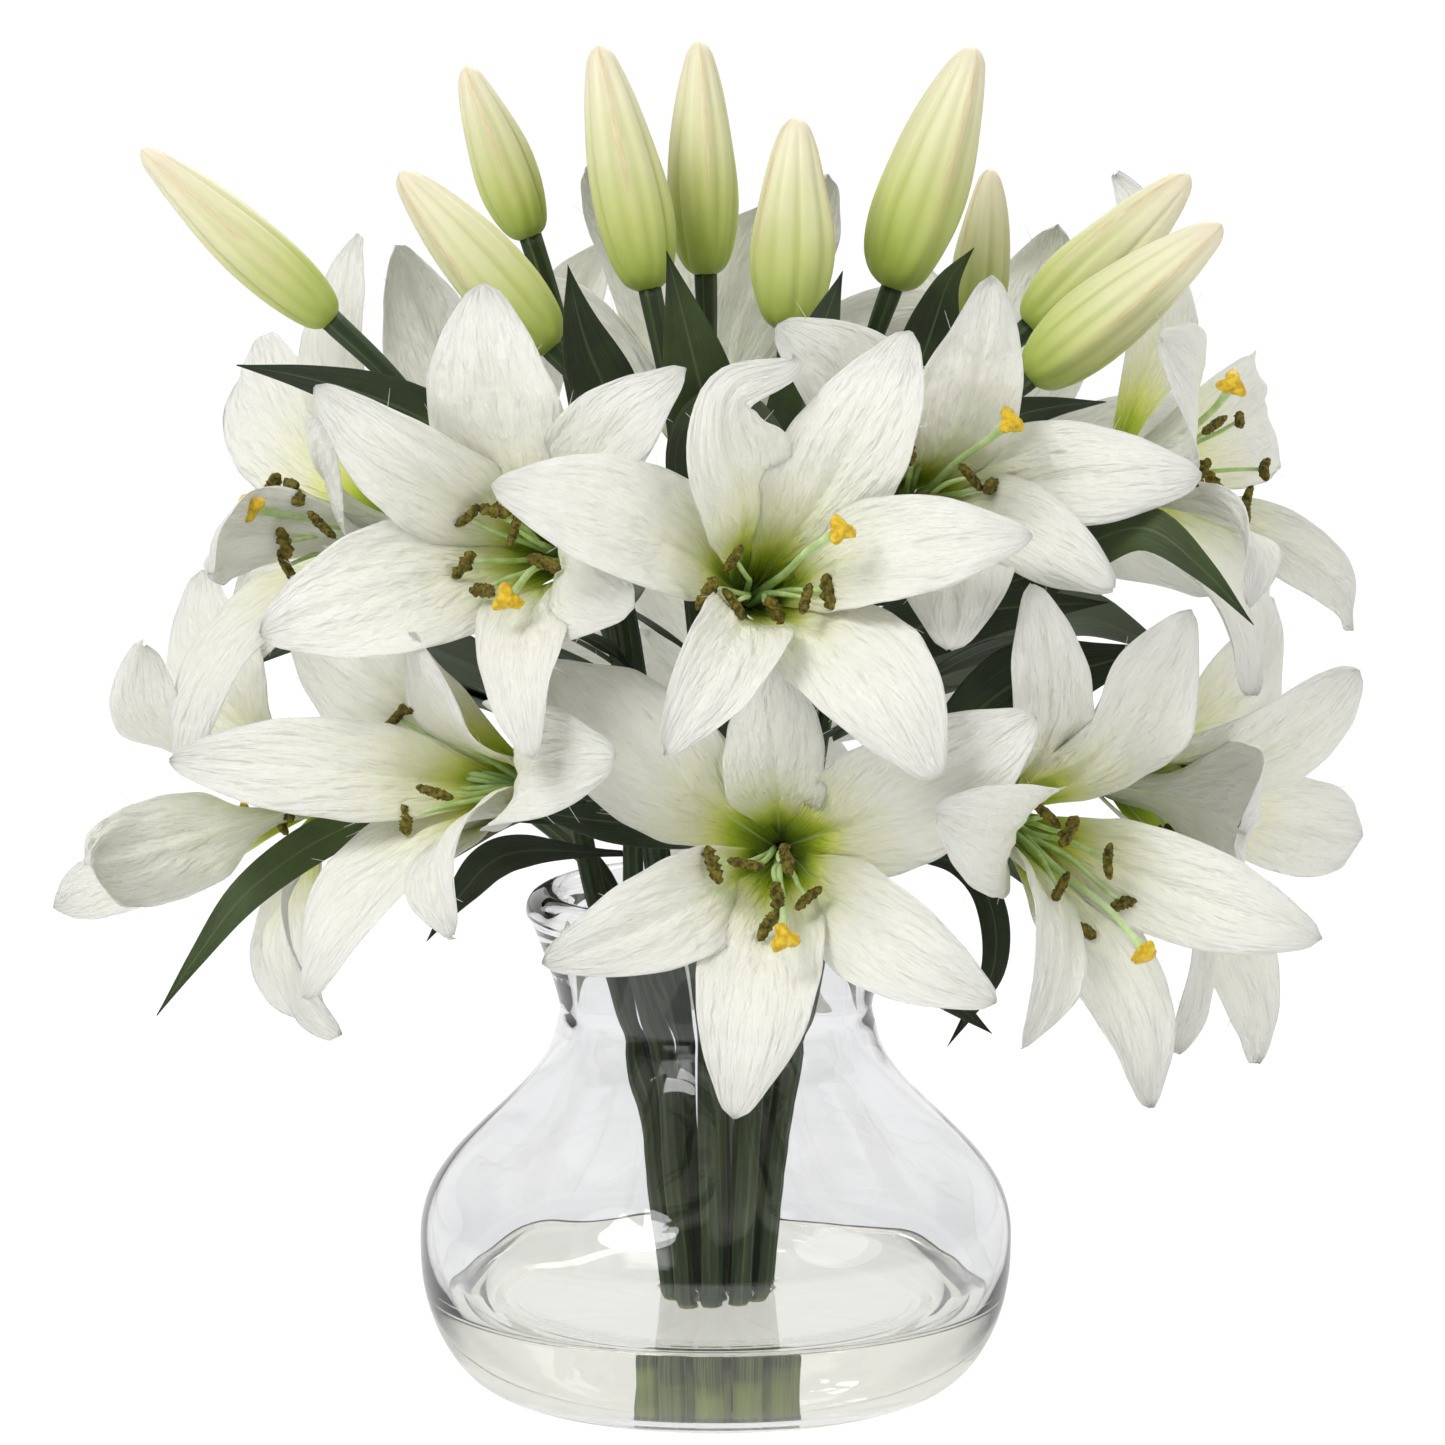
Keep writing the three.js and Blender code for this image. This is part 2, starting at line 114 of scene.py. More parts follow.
def smoothLine(points, count):
    # evenly spaced places on a smooth curve through the points
    p = np.vstack([2 * points[0] - points[1], points, 2 * points[-1] - points[-2]])
    t = np.linspace(0, 1, 24, endpoint=False)[:, None]
    fine = []
    for a, b, c, d in zip(p, p[1:], p[2:], p[3:]):
        fine.append(b + 0.5 * t * (c - a + t * (2 * a - 5 * b + 4 * c - d + t * (3 * b - a - 3 * c + d))))
    fine = np.vstack(fine + [p[-2:-1]])
    run = np.concatenate([[0], np.cumsum(np.linalg.norm(np.diff(fine, axis=0), axis=1))])
    at = np.linspace(0, run[-1], count)
    return np.column_stack([np.interp(at, run, fine[:, k]) for k in range(fine.shape[1])])


def turnedAbout(points, axis, degrees):
    angle = math.radians(degrees)
    along = np.multiply.outer(points @ axis, axis)
    return along + (points - along) * math.cos(angle) + np.cross(axis, points) * math.sin(angle)


def curveAt(pairs, x):
    # a smooth profile through (place, value) pairs
    xs, ys = np.array(pairs, float).T
    fine = smoothLine(np.column_stack([xs, ys]), 400)
    return np.interp(x, fine[:, 0], fine[:, 1])


def eased(low, high, x):
    t = np.clip((x - low) / (high - low), 0, 1)
    return t * t * (3 - 2 * t)


def wobble(rng, terms, slow, fast):
    # a repeatable irregular wave of two arguments, about -1 to 1
    rate = rng.uniform(slow, fast, (terms, 2)) * rng.choice([-1, 1], (terms, 2))
    phase = rng.uniform(0, 2 * np.pi, terms)

    def wave(x, y=0.0):
        total = sum(np.sin(a * x + b * y + c) for (a, b), c in zip(rate, phase))
        return total / math.sqrt(terms)
    return wave


class Gather:
    # joins several closed shells, with named values on their points, into one mesh
    def __init__(self):
        self.points, self.faces, self.values, self.total = [], [], {}, 0

    def add(self, points, faces, **values):
        self.points.append(points)
        self.faces += [[i + self.total for i in face] for face in faces]
        for key, value in values.items():
            self.values.setdefault(key, []).append(np.broadcast_to(value, len(points)))
        self.total += len(points)

    def make(self, name, finish, slot, replaced):
        mesh = bpy.data.meshes.new(name)
        mesh.from_pydata(np.vstack(self.points).tolist(), [], self.faces)
        for key, value in self.values.items():
            layer = mesh.attributes.new(key, "FLOAT", "POINT")
            layer.data.foreach_set("value", np.concatenate(value).astype(np.float32))
        mesh.shade_smooth()
        mesh.materials.append(finish)
        piece = bpy.data.objects.new(name, mesh)
        bpy.context.scene.collection.objects.link(piece)
        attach(piece, "root")
        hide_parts(replaced)


def gridFaces(rows, columns, start=0, turned=False, closed=False):
    faces = []
    for i in range(rows - 1):
        for k in range(columns if closed else columns - 1):
            n = (k + 1) % columns
            face = [start + i * columns + k, start + i * columns + n,
                    start + (i + 1) * columns + n, start + (i + 1) * columns + k]
            faces.append(face[::-1] if turned else face)
    return faces


def sheetShell(front, back):
    # a thin closed sheet from its front and back grids of points
    rows, columns = front.shape[:2]
    half = rows * columns
    faces = gridFaces(rows, columns) + gridFaces(rows, columns, half, turned=True)
    rim = list(range(columns))
    rim += [i * columns + columns - 1 for i in range(1, rows)]
    rim += [(rows - 1) * columns + k for k in range(columns - 2, -1, -1)]
    rim += [i * columns for i in range(rows - 2, 0, -1)]
    for a, b in zip(rim, rim[1:] + rim[:1]):
        faces.append([b, a, a + half, b + half])
    return np.vstack([front.reshape(-1, 3), back.reshape(-1, 3)]), faces


def carriedFrames(line):
    # directions along a line and across it that turn as little as they can
    along = unit(np.gradient(line, axis=0))
    guess = np.eye(3)[np.argmin(np.abs(along[0]))]
    across = []
    for t in along:
        guess = unit(guess - t * guess.dot(t))
        across.append(guess)
    across = np.array(across)
    return along, across, np.cross(along, across)


def tubeShell(line, radii, count, frames=None):
    # a closed tube; radii is one row for each place on the line
    along, across, other = frames or carriedFrames(line)
    angle = np.linspace(0, 2 * np.pi, count, endpoint=False)
    radii = np.broadcast_to(np.reshape(radii, (len(line), -1)), (len(line), count))
    ring = across[:, None] * np.cos(angle)[:, None] + other[:, None] * np.sin(angle)[:, None]
    points = (line[:, None] + ring * radii[..., None]).reshape(-1, 3)
    rows, last = len(line), len(points)
    faces = gridFaces(rows, count, closed=True)
    for k in range(count):
        n = (k + 1) % count
        faces.append([n, k, last])
        faces.append([(rows - 1) * count + k, (rows - 1) * count + n, last + 1])
    return np.vstack([points, line[:1], line[-1:]]), faces


def tubeValues(count, ringValue):
    # repeats a tube's value at each place on its line round the ring there, with the two ends
    ringValue = np.asarray(ringValue, float)
    return np.concatenate([np.repeat(ringValue, count), ringValue[:1], ringValue[-1:]])


class Wire:
    # one output of a shader node, so that sums on it are written as expressions
    def __init__(self, finish, socket):
        self.finish, self.socket = finish, socket

    def __add__(self, other):
        return self.finish.maths("ADD", self, other)

    def __sub__(self, other):
        return self.finish.maths("SUBTRACT", self, other)

    def __rsub__(self, other):
        return self.finish.maths("SUBTRACT", other, self)

    def __mul__(self, other):
        return self.finish.maths("MULTIPLY", self, other)

    def __abs__(self):
        return self.finish.maths("ABSOLUTE", self)

    __radd__ = __add__
    __rmul__ = __mul__


class Finish:
    # the nodes of one new material, or of the world if that is its home
    def __init__(self, name, home=None):
        self.home = home or bpy.data.materials.new(name)
        self.home.use_nodes = True
        self.tree = self.home.node_tree
        self.tree.nodes.clear()

    def node(self, kind, settings=None, sockets=None, output=0):
        made = self.tree.nodes.new("ShaderNode" + kind)
        for key, value in (settings or {}).items():
            if key == "stops":
                stops = made.color_ramp.elements
                while len(stops) < len(value):
                    stops.new(1)
                for stop, (place, colour) in zip(stops, value):
                    stop.position = place
                    stop.color = (*colour, 1)
            else:
                setattr(made, key, value)
        for key, value in (sockets or {}).items():
            if isinstance(value, Wire):
                self.tree.links.new(value.socket, made.inputs[key])
            else:
                made.inputs[key].default_value = value
        return Wire(self, made.outputs[output]) if len(made.outputs) else None

    def maths(self, operation, *terms):
        return self.node("Math", {"operation": operation}, dict(enumerate(terms)))

    def value(self, name):
        return self.node("Attribute", {"attribute_name": name}, output="Fac")

    def between(self, value, low, high):
        # 0 below low, 1 above high, smooth in the middle; falls instead where low is over high
        turned = low > high
        lo, hi = min(low, high), max(low, high)
        return self.node("MapRange", {"interpolation_type": "SMOOTHSTEP"},
                         {"Value": value, "From Min": lo, "From Max": hi,
                          "To Min": 1.0 if turned else 0.0, "To Max": 0.0 if turned else 1.0})

    def ramp(self, value, stops):
        return self.node("ValToRGB", {"stops": stops}, {"Fac": value})

    def blend(self, amount, first, second, way="MIX"):
        first, second = [c if isinstance(c, Wire) else (*c, 1) for c in (first, second)]
        sockets = {0: amount, 6: first, 7: second}
        return self.node("Mix", {"data_type": "RGBA", "blend_type": way}, sockets, 2)

    def place(self):
        return self.node("TexCoord", output="Object")

    def vector(self, x, y, z):
        return self.node("CombineXYZ", None, {"X": x, "Y": y, "Z": z})

    def noise(self, at, scale, detail=3.0, rough=0.5):
        sockets = {"Vector": at, "Scale": scale, "Detail": detail, "Roughness": rough}
        return self.node("TexNoise", None, sockets)

    def specks(self, at, scale):
        return self.node("TexVoronoi", {"feature": "F1"}, {"Vector": at, "Scale": scale}, "Distance")

    def bump(self, height, depth, strength):
        return self.node("Bump", None, {"Height": height, "Distance": depth, "Strength": strength})

    def shader(self, sockets):
        return self.node("BsdfPrincipled", None, sockets)

    def done(self, surface, output="OutputMaterial"):
        self.node(output, None, {"Surface": surface})
        return self.home


def petalFinish():
    look = {
        "throat": [(0.0, (0.13, 0.20, 0.003)), (0.13, (0.26, 0.37, 0.008)), (0.22, (0.50, 0.60, 0.040)),
                   (0.285, (0.75, 0.78, 0.23)), (0.37, (0.84, 0.85, 0.57)), (0.56, (0.865, 0.86, 0.745)),
                   (0.9, (0.87, 0.865, 0.785))],
        "back": [(0.0, (0.42, 0.50, 0.20)), (0.14, (0.70, 0.74, 0.50)), (0.34, (0.86, 0.865, 0.78)),
                 (1.0, (0.87, 0.865, 0.78))],
        "rib": (0.66, 0.73, 0.36),
        "veinDepth": 0.42 * mm,
        "creaseDepth": 2.6 * mm,
        "weaveDepth": 0.06 * mm,
    }
    f = Finish("petalCloth")
    along, across, front, tone = [f.value(n) for n in ("along", "across", "front", "tone")]
    side = abs(across)
    cloud = f.noise(f.place(), 45.0, 3.0)
    reach = along + side * 0.05 + (cloud - 0.5) * 0.05 + (tone - 0.5) * 0.03
    colour = f.blend(front, f.ramp(reach, look["back"]), f.ramp(reach, look["throat"]))
    rib = f.between(side, 0.10, 0.0) * f.between(along, 0.62, 0.12) * 0.55
    colour = f.blend(rib, colour, look["rib"])
    # veins run out from the midrib to the edge and break up on the way
    bow = f.noise(f.place(), 30.0, 2.0)
    lines = f.vector(side * 8.0 - along * 4.5 + bow * 1.3, along * 3.4, across * 0.6 + tone * 30.0)
    veins = f.noise(lines, 2.3, 3.0, 0.55)
    fine = f.noise(f.vector(side * 26.0 - along * 8.0, along * 7.0, tone * 17.0), 2.0, 2.0)
    colour = f.blend(f.between(veins, 0.60, 0.38) * 0.10, colour, (0.70, 0.70, 0.58), "MULTIPLY")
    weave = f.noise(f.place(), 2600.0, 1.0)
    creases = f.noise(f.vector(side * 3.6 - along * 3.0 + bow, along * 6.0, tone * 21.0), 2.0, 3.0, 0.5)
    height = veins * look["veinDepth"] + creases * look["creaseDepth"] + fine * 0.12 * mm
    height = height + weave * look["weaveDepth"]
    normal = f.bump(height, 1.0, 0.9)
    rough = 0.52 + veins * 0.16
    return f.done(f.shader({
        "Base Color": colour, "Roughness": rough, "Normal": normal, "Specular IOR Level": 0.3,
        "Subsurface Weight": 0.45, "Subsurface Radius": (1.0, 1.0, 0.85), "Subsurface Scale": 2.2 * mm,
        "Sheen Weight": 0.06}))


def leafFinish():
    look = {
        "dark": (0.018, 0.030, 0.012), "fresh": (0.052, 0.085, 0.014), "rib": (0.10, 0.13, 0.055),
        "under": (0.080, 0.095, 0.062), "veinDepth": 0.35 * mm,
    }
    f = Finish("leafCloth")
    along, across, front, tone = [f.value(n) for n in ("along", "across", "front", "tone")]
    side = abs(across)
    patch = f.noise(f.place(), 38.0, 4.0)
    colour = f.blend(f.between(patch + tone * 0.5, 0.66, 1.12), look["dark"], look["fresh"])
    lines = f.noise(f.vector(across * 15.0, along * 1.3, tone * 40.0), 2.4, 3.0, 0.6)
    colour = f.blend(f.between(lines, 0.5, 0.72) * 0.35, colour, look["rib"])
    colour = f.blend(f.between(side, 0.07, 0.015) * 0.75, colour, look["rib"])
    scuff = f.between(f.specks(f.place(), 260.0), 0.10, 0.03)
    scuff = scuff * f.between(f.noise(f.place(), 60.0), 0.52, 0.66)
    colour = f.blend(scuff * 0.5, colour, (0.20, 0.24, 0.19))
    colour = f.blend((1 - front) * 0.6, colour, look["under"])
    weave = f.noise(f.place(), 2400.0, 1.0)
    normal = f.bump(lines * look["veinDepth"] + weave * 0.03 * mm, 1.0, 0.8)
    rough = 0.40 + patch * 0.16
    return f.done(f.shader({"Base Color": colour, "Roughness": rough, "Normal": normal,
                            "Specular IOR Level": 0.45, "Sheen Weight": 0.04}))


def stemFinish():
    look = {"dark": (0.017, 0.034, 0.008), "streak": (0.10, 0.15, 0.030), "cut": (0.30, 0.36, 0.10)}
    f = Finish("stemGreen")
    along, turn, rib, tone = [f.value(n) for n in ("along", "turn", "rib", "tone")]
    streak = f.noise(f.vector(turn * 9.0, along * 5.0, tone * 50.0), 2.2, 4.0, 0.6)
    mask = f.between(streak + rib * 0.22, 0.50, 0.86)
    colour = f.blend(mask * 0.85, look["dark"], look["streak"])
    spots = f.between(f.specks(f.place(), 420.0), 0.12, 0.04)
    colour = f.blend(spots * 0.35, colour, (0.13, 0.16, 0.07))
    foot = f.between(along, 0.05, 0.025)
    fibre = f.noise(f.vector(turn * 5.0, rib * 1.5, tone * 23.0), 3.0, 3.0)
    colour = f.blend(foot * f.between(fibre, 0.45, 0.62) * 0.5, colour, look["cut"])
    colour = f.blend(f.between(along, 0.012, 0.004) * 0.8, colour, look["cut"])
    normal = f.bump(streak * 0.25 * mm + f.noise(f.place(), 900.0) * 0.05 * mm, 1.0, 0.8)
    return f.done(f.shader({"Base Color": colour, "Roughness": 0.42 + streak * 0.2, "Normal": normal,
                            "Specular IOR Level": 0.45}))


def budFinish():
    look = {
        "body": [(0.0, (0.33, 0.43, 0.06)), (0.10, (0.44, 0.53, 0.11)), (0.28, (0.58, 0.63, 0.22)),
                 (0.52, (0.71, 0.715, 0.40)), (0.78, (0.79, 0.76, 0.52)), (1.0, (0.79, 0.72, 0.54))],
        "ridge": (0.60, 0.46, 0.24), "seam": (0.44, 0.50, 0.10), "speck": (0.55, 0.50, 0.02),
    }
    f = Finish("budPlastic")
    along, rib, seam, tone = [f.value(n) for n in ("along", "rib", "seam", "tone")]
    cloud = f.noise(f.place(), 70.0, 4.0)
    reach = along + (cloud - 0.5) * 0.22 + (tone - 0.5) * 0.12
    colour = f.ramp(reach, look["body"])
    streak = f.noise(f.vector(rib * 3.0 + seam * 2.0, along * 2.0, tone * 30.0), 5.0, 4.0)
    blush = rib * f.between(along, 0.12, 0.6) * f.between(streak, 0.30, 0.62)
    colour = f.blend(blush * 0.8, colour, look["ridge"])
    colour = f.blend(seam * f.between(along, 1.0, 0.25) * 0.5, colour, look["seam"])
    dots = f.between(f.specks(f.place(), 190.0), 0.075, 0.03)
    colour = f.blend(dots * f.between(cloud, 0.55, 0.66) * 0.8, colour, look["speck"])
    normal = f.bump(cloud * 0.35 * mm + f.noise(f.place(), 520.0, 2.0) * 0.05 * mm, 1.0, 0.7)
    return f.done(f.shader({
        "Base Color": colour, "Roughness": 0.40 + cloud * 0.16, "Normal": normal, "Specular IOR Level": 0.45,
        "Subsurface Weight": 0.25, "Subsurface Radius": (1.0, 0.95, 0.5), "Subsurface Scale": 2.5 * mm}))


def plainFinish(name, dark, light, grain, rough, depth, subsurface=0.0):
    # a mottled plastic: two colours mixed by a noise of the given grain
    f = Finish(name)
    cloud = f.noise(f.place(), grain, 4.0, 0.6)
    colour = f.blend(f.between(cloud, 0.35, 0.65), dark, light)
    normal = f.bump(cloud, depth, 0.9)
    return f.done(f.shader({
        "Base Color": colour, "Roughness": rough + cloud * 0.15, "Normal": normal, "Specular IOR Level": 0.4,
        "Subsurface Weight": subsurface, "Subsurface Scale": 1.5 * mm}))


def clearFinish(name, tint, index, depth, grain):
    # clear all through, and lamps shine through it onto what is inside
    f = Finish(name)
    waves = f.noise(f.place(), grain, 2.0)
    body = f.shader({"Base Color": (*tint, 1), "Roughness": 0.0, "IOR": index, "Transmission Weight": 1.0,
                     "Normal": f.bump(waves, depth, 0.6)})
    path = f.node("LightPath", output="Is Shadow Ray")
    thin = f.node("BsdfTransparent", None, {"Color": (*tint, 1)})
    return f.done(f.node("MixShader", None, {0: path, 1: body, 2: thin}))


finishes = {
    "petal": petalFinish(),
    "leaf": leafFinish(),
    "stem": stemFinish(),
    "bud": budFinish(),
    "filament": plainFinish("filamentPlastic", (0.44, 0.62, 0.24), (0.62, 0.78, 0.42),
                            160.0, 0.32, 0.15 * mm, 0.3),
    "anther": plainFinish("antherCoat", (0.045, 0.036, 0.004), (0.22, 0.175, 0.018),
                          700.0, 0.75, 0.9 * mm),
    "stigma": plainFinish("stigmaPlastic", (0.56, 0.34, 0.006), (0.80, 0.58, 0.03),
                          500.0, 0.38, 0.3 * mm, 0.2),
    "glass": clearFinish("vaseGlass", (0.968, 0.971, 0.979), 1.5, 0.3 * mm, 22.0),
    "resin": clearFinish("castResin", (0.966, 0.958, 0.865), 1.5, 0.12 * mm, 14.0),
}
print("finishes made")


vaseLook = {
    "sides": 180, "ripple": 0.22 * mm,
    "overlap": 0.3 * mm,  # how far the resin goes into the glass, so that no air shows between them
    "meniscus": 0.8 * mm, "wallReach": 1.6 * mm, "stemReach": 1.1 * mm, "stemRadius": 3.1 * mm,
}


def nodeProfile(name):
    # radius and height of each ring of a turned node, from the middle of its underside
    places, near = welded(name)
    axisPoints = np.where(np.hypot(places[:, 0], places[:, 1]) < 0.5 * mm)[0]
    start = axisPoints[np.argmin(places[axisPoints, 2])]
    rings = ringsFrom([int(start)], near, len(near[start]))
    return np.array([[np.hypot(*places[r, :2].T).mean(), places[r, 2].mean()] for r in rings])


def turned(profile, count, shift=None):
    # a closed body of revolution whose profile starts and ends on the axis
    angle = np.linspace(0, 2 * np.pi, count, endpoint=False)
    radius, height = profile[1:-1, 0], profile[1:-1, 1]
    radius = np.repeat(radius[:, None], count, 1)
    height = np.repeat(height[:, None], count, 1)
    if shift:
        radius, height = shift(radius, height, angle[None, :])
    points = np.stack([radius * np.cos(angle), radius * np.sin(angle), height], -1).reshape(-1, 3)
    rows, last = len(profile) - 2, len(points)
    faces = gridFaces(rows, count, closed=True)
    for k in range(count):
        n = (k + 1) % count
        faces.append([n, k, last])
        faces.append([(rows - 1) * count + k, (rows - 1) * count + n, last + 1])
    ends = [[0, 0, profile[0, 1]], [0, 0, profile[-1, 1]]]
    return np.vstack([points, ends]), faces


vaseRings = nodeProfile("vase")
topRing = int(np.argmax(vaseRings[:, 1]))
outerLine = smoothLine(vaseRings[: topRing + 1], 110)
innerLine = smoothLine(vaseRings[topRing:], 110)
vaseFloor = vaseRings[-1, 1]
print("vase profile:", len(vaseRings), "rings, top", round(vaseRings[topRing, 1] / mm, 1))


glassRng = np.random.default_rng(seeds["glass"])
outerWave, innerWave = wobble(glassRng, 5, 1.0, 3.0), wobble(glassRng, 5, 1.0, 3.0)


def glassRipple(height, angle, inside):
    # hand-made glass is never quite round: slow waves that close on themselves round the vase
    wave = np.where(inside, innerWave(2 * np.sin(angle) + 1.3 * np.cos(2 * angle), height * 30),
                    outerWave(2 * np.cos(angle) + 1.3 * np.sin(3 * angle), height * 30))
    return wave * vaseLook["ripple"] * eased(0.012, 0.03, height)


def makeVase():
    inside = np.arange(len(outerLine) + len(innerLine) - 1) >= len(outerLine)

    def shift(radius, height, angle):
        return radius + glassRipple(height, angle, inside[:, None]), height

    profile = np.vstack([[0, 0], outerLine, innerLine[1:], [0, vaseFloor]])
    glass = Gather()
    points, faces = turned(profile, vaseLook["sides"], shift)
    glass.add(points, faces)
    glass.make("vaseGlass", finishes["glass"], "glass", "vase")


def stemLine(name):
    # middle line of a stem from its cut end upwards
    places, near = welded(name)
    foot = np.argsort(places[:, 2])[:8].tolist()
    rings = [foot] + ringsFrom(foot, near, 8)
    return np.array([places[r].mean(0) for r in rings])


stemLines = {name: smoothLine(stemLine(name), 110) for name in numbered("stem")}


def makeResin():
    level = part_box("water")[1][2]
    low = innerLine[innerLine[:, 1] < level + 2 * mm][::-1]
    wall = low[np.argsort(low[:, 1])]
    heights = np.linspace(vaseFloor + 0.3 * mm, level, 22)
    side = np.column_stack([np.interp(heights, wall[:, 1], wall[:, 0]) + vaseLook["overlap"], heights])
    floorLevel = vaseFloor - vaseLook["overlap"]
    bottom = np.linspace(0, 1, 12)[1:-1] * side[0, 0]
    bottom = np.column_stack([bottom, np.full(len(bottom), floorLevel)])
    reach = side[-1, 0]
    top = reach * np.linspace(1, 0, 120)[1:-1] ** 0.8
    topSide = np.column_stack([top, np.full(len(top), level)])
    profile = np.vstack([[0, floorLevel], bottom, side, topSide, [0, level]])
    feet = np.array([[np.interp(level, line[:30, 2], line[:30, k]) for k in range(2)]
                     for line in stemLines.values()])
    surface = np.arange(len(profile) - 2) >= len(bottom) + len(side) - 1

    def shift(radius, height, angle):
        # the poured surface climbs a little at the glass and at each stem
        x, y = radius * np.cos(angle), radius * np.sin(angle)
        climb = 0.6 * np.exp(-(reach - radius) / vaseLook["wallReach"])
        for foot in feet:
            gap = np.maximum(np.hypot(x - foot[0], y - foot[1]) - vaseLook["stemRadius"], 0)
            climb = climb + np.exp(-gap / vaseLook["stemReach"])
        radius = radius + glassRipple(height, angle, True) * (radius / reach) ** 6
        climb = np.minimum(climb, 1.2) * vaseLook["meniscus"]
        return radius, height + np.where(surface[:, None], climb, 0)

    resin = Gather()
    points, faces = turned(profile, vaseLook["sides"], shift)
    resin.add(points, faces)
    resin.make("castResin", finishes["resin"], "resin", "water")


makeVase()
makeResin()
print("vase and resin made")


def makeStems():
    look = {"radius": 3.2 * mm, "topRadius": 2.9 * mm, "ribs": 8, "ribDepth": 0.07, "count": 40}
    angle = np.linspace(0, 2 * np.pi, look["count"], endpoint=False)
    for index, (name, line) in enumerate(stemLines.items()):
        rng = np.random.default_rng(seeds["stem"] + index)
        cut = line[0] + (line[3] - line[0]) * rng.uniform(0.0, 1.0)
        line = np.vstack([cut, line[4:]])
        rows = len(line)
        share = np.linspace(0, 1, rows)
        wave = wobble(rng, 4, 1.0, 3.0)
        swell = wobble(rng, 3, 8.0, 20.0)
        twist = rng.uniform(-0.8, 0.8)
        phase = look["ribs"] * (angle[None, :] + twist * share[:, None]) + rng.uniform(0, 6)
        rib = np.cos(phase) * 0.7 + 0.3 * wave(3 * np.cos(angle)[None, :], 5 * share[:, None])
        size = look["radius"] + (look["topRadius"] - look["radius"]) * eased(0.6, 1.0, share)
        radii = size[:, None] * (0.95 + look["ribDepth"] * rib + 0.02 * swell(share[:, None], 0.0))
        radii[0] *= 0.93
        points, faces = tubeShell(line, radii, look["count"])
        ends = [0.0, 0.0]
        stem = Gather()
        stem.add(points, faces,
                 along=tubeValues(look["count"], share),
                 turn=np.concatenate([np.tile(np.cos(angle), rows), ends]),
                 rib=np.concatenate([rib.ravel(), ends]),
                 tone=rng.uniform())
        stem.make("stemRod_" + name[-2:], finishes["stem"], "stem_green", name)


makeStems()
print("stems made")


petalLook = {
    "rows": 52, "columns": 35,
    "innerHalf": 19.6 * mm, "outerHalf": 15.6 * mm,
    "thickness": 0.75 * mm,
    # half width along the petal, as a share of the widest place
    "outline": [(0.0, 0.15), (0.08, 0.25), (0.18, 0.41), (0.30, 0.66), (0.42, 0.89), (0.53, 1.0),
                (0.64, 0.98), (0.75, 0.86), (0.85, 0.64), (0.92, 0.43), (0.965, 0.28), (0.99, 0.15),
                (1.0, 0.03)],
    "cup": 1 / (44 * mm),
    "edgeWave": 2.5 * mm,
    "rimCurl": 2.0 * mm,
    "ripple": 0.22 * mm,
    "groove": 0.75 * mm,
    "seat": (4.4 * mm, 2.9 * mm),  # a petal's foot: below the hub, and out from the axis
    "mouth": 5.6 * mm,
    "threads": 5, "threadLength": (2.0 * mm, 6.5 * mm), "threadRadius": (0.085 * mm, 0.04 * mm),
}

# Petals that lie in their own way: for a bloom and a petal's turn round it in degrees, how far it swings
# round the bloom, is raised away from its axis and twists, in degrees; a sway, a hook of its tip sideways
# or a fold of its tip inwards, in millimetres; and shares of its length, width and cupping.
petalManners = {
    "bloom_01": {60: {"hook": 27, "twist": 0, "sway": 0, "slim": 0.55, "fold": 2},
                 122: {"fold": -5, "width": 0.9}, 15: {"width": 0.92},
                 247: {"fold": -5}, 310: {"cup": 2.2, "fold": -7, "width": 0.92}},
    "bloom_02": {90: {"cup": 1.6}, 150: {"fold": -4}, 208: {"fold": -3}, 280: {"width": 0.9, "fold": -4}},
    "bloom_03": {350: {"width": 0.95, "cup": 1.4}, 92: {"width": 0.9, "fold": 5}, 36: {"width": 1.1},
                 170: {"fold": -8, "cup": 1.5}},
    "bloom_04": {332: {"cup": 1.3}, 86: {"width": 1.1}, 136: {"fold": -6, "cup": 1.5}},
    "bloom_05": {16: {"reach": 1.2, "swing": 12, "width": 1.1, "cup": 0.5}, 128: {"reach": 0.62},
                 200: {"reach": 1.1, "width": 0.85}, 266: {"width": 0.75, "twist": 35}},
    "bloom_06": {48: {"reach": 0.86, "swing": 24, "width": 1.2, "cup": 0.2, "twist": -25},
                 108: {"twist": -50, "width": 1.15, "cup": 0.4},
                 160: {"raise": -14, "width": 0.8, "cup": 0.6}, 338: {"width": 0.7, "reach": 1.06}},
    "bloom_07": {184: {"width": 0.85, "fold": 6, "cup": 1.5}, 234: {"fold": 5, "width": 0.9, "cup": 1.4}},
    "bloom_08": {218: {"width": 0.66, "fold": -6}, 318: {"width": 0.85, "cup": 1.8}, 34: {"width": 1.1}},
    "bloom_09": {72: {"width": 0.85, "cup": 2.0, "twist": 20},
                 120: {"reach": 0.82, "swing": -6, "cup": 1.6, "fold": 9},
                 24: {"cup": 1.6}, 310: {"width": 0.85}, 255: {"width": 0.8, "fold": -6}},
    "bloom_10": {98: {"swing": 26, "reach": 0.86, "width": 1.15, "twist": 25, "cup": 0.5},
                 54: {"swing": -46, "raise": -36, "width": 1.1, "twist": 12, "cup": 0.5},
                 302: {"width": 0.75}, 244: {"width": 0.75}},
}


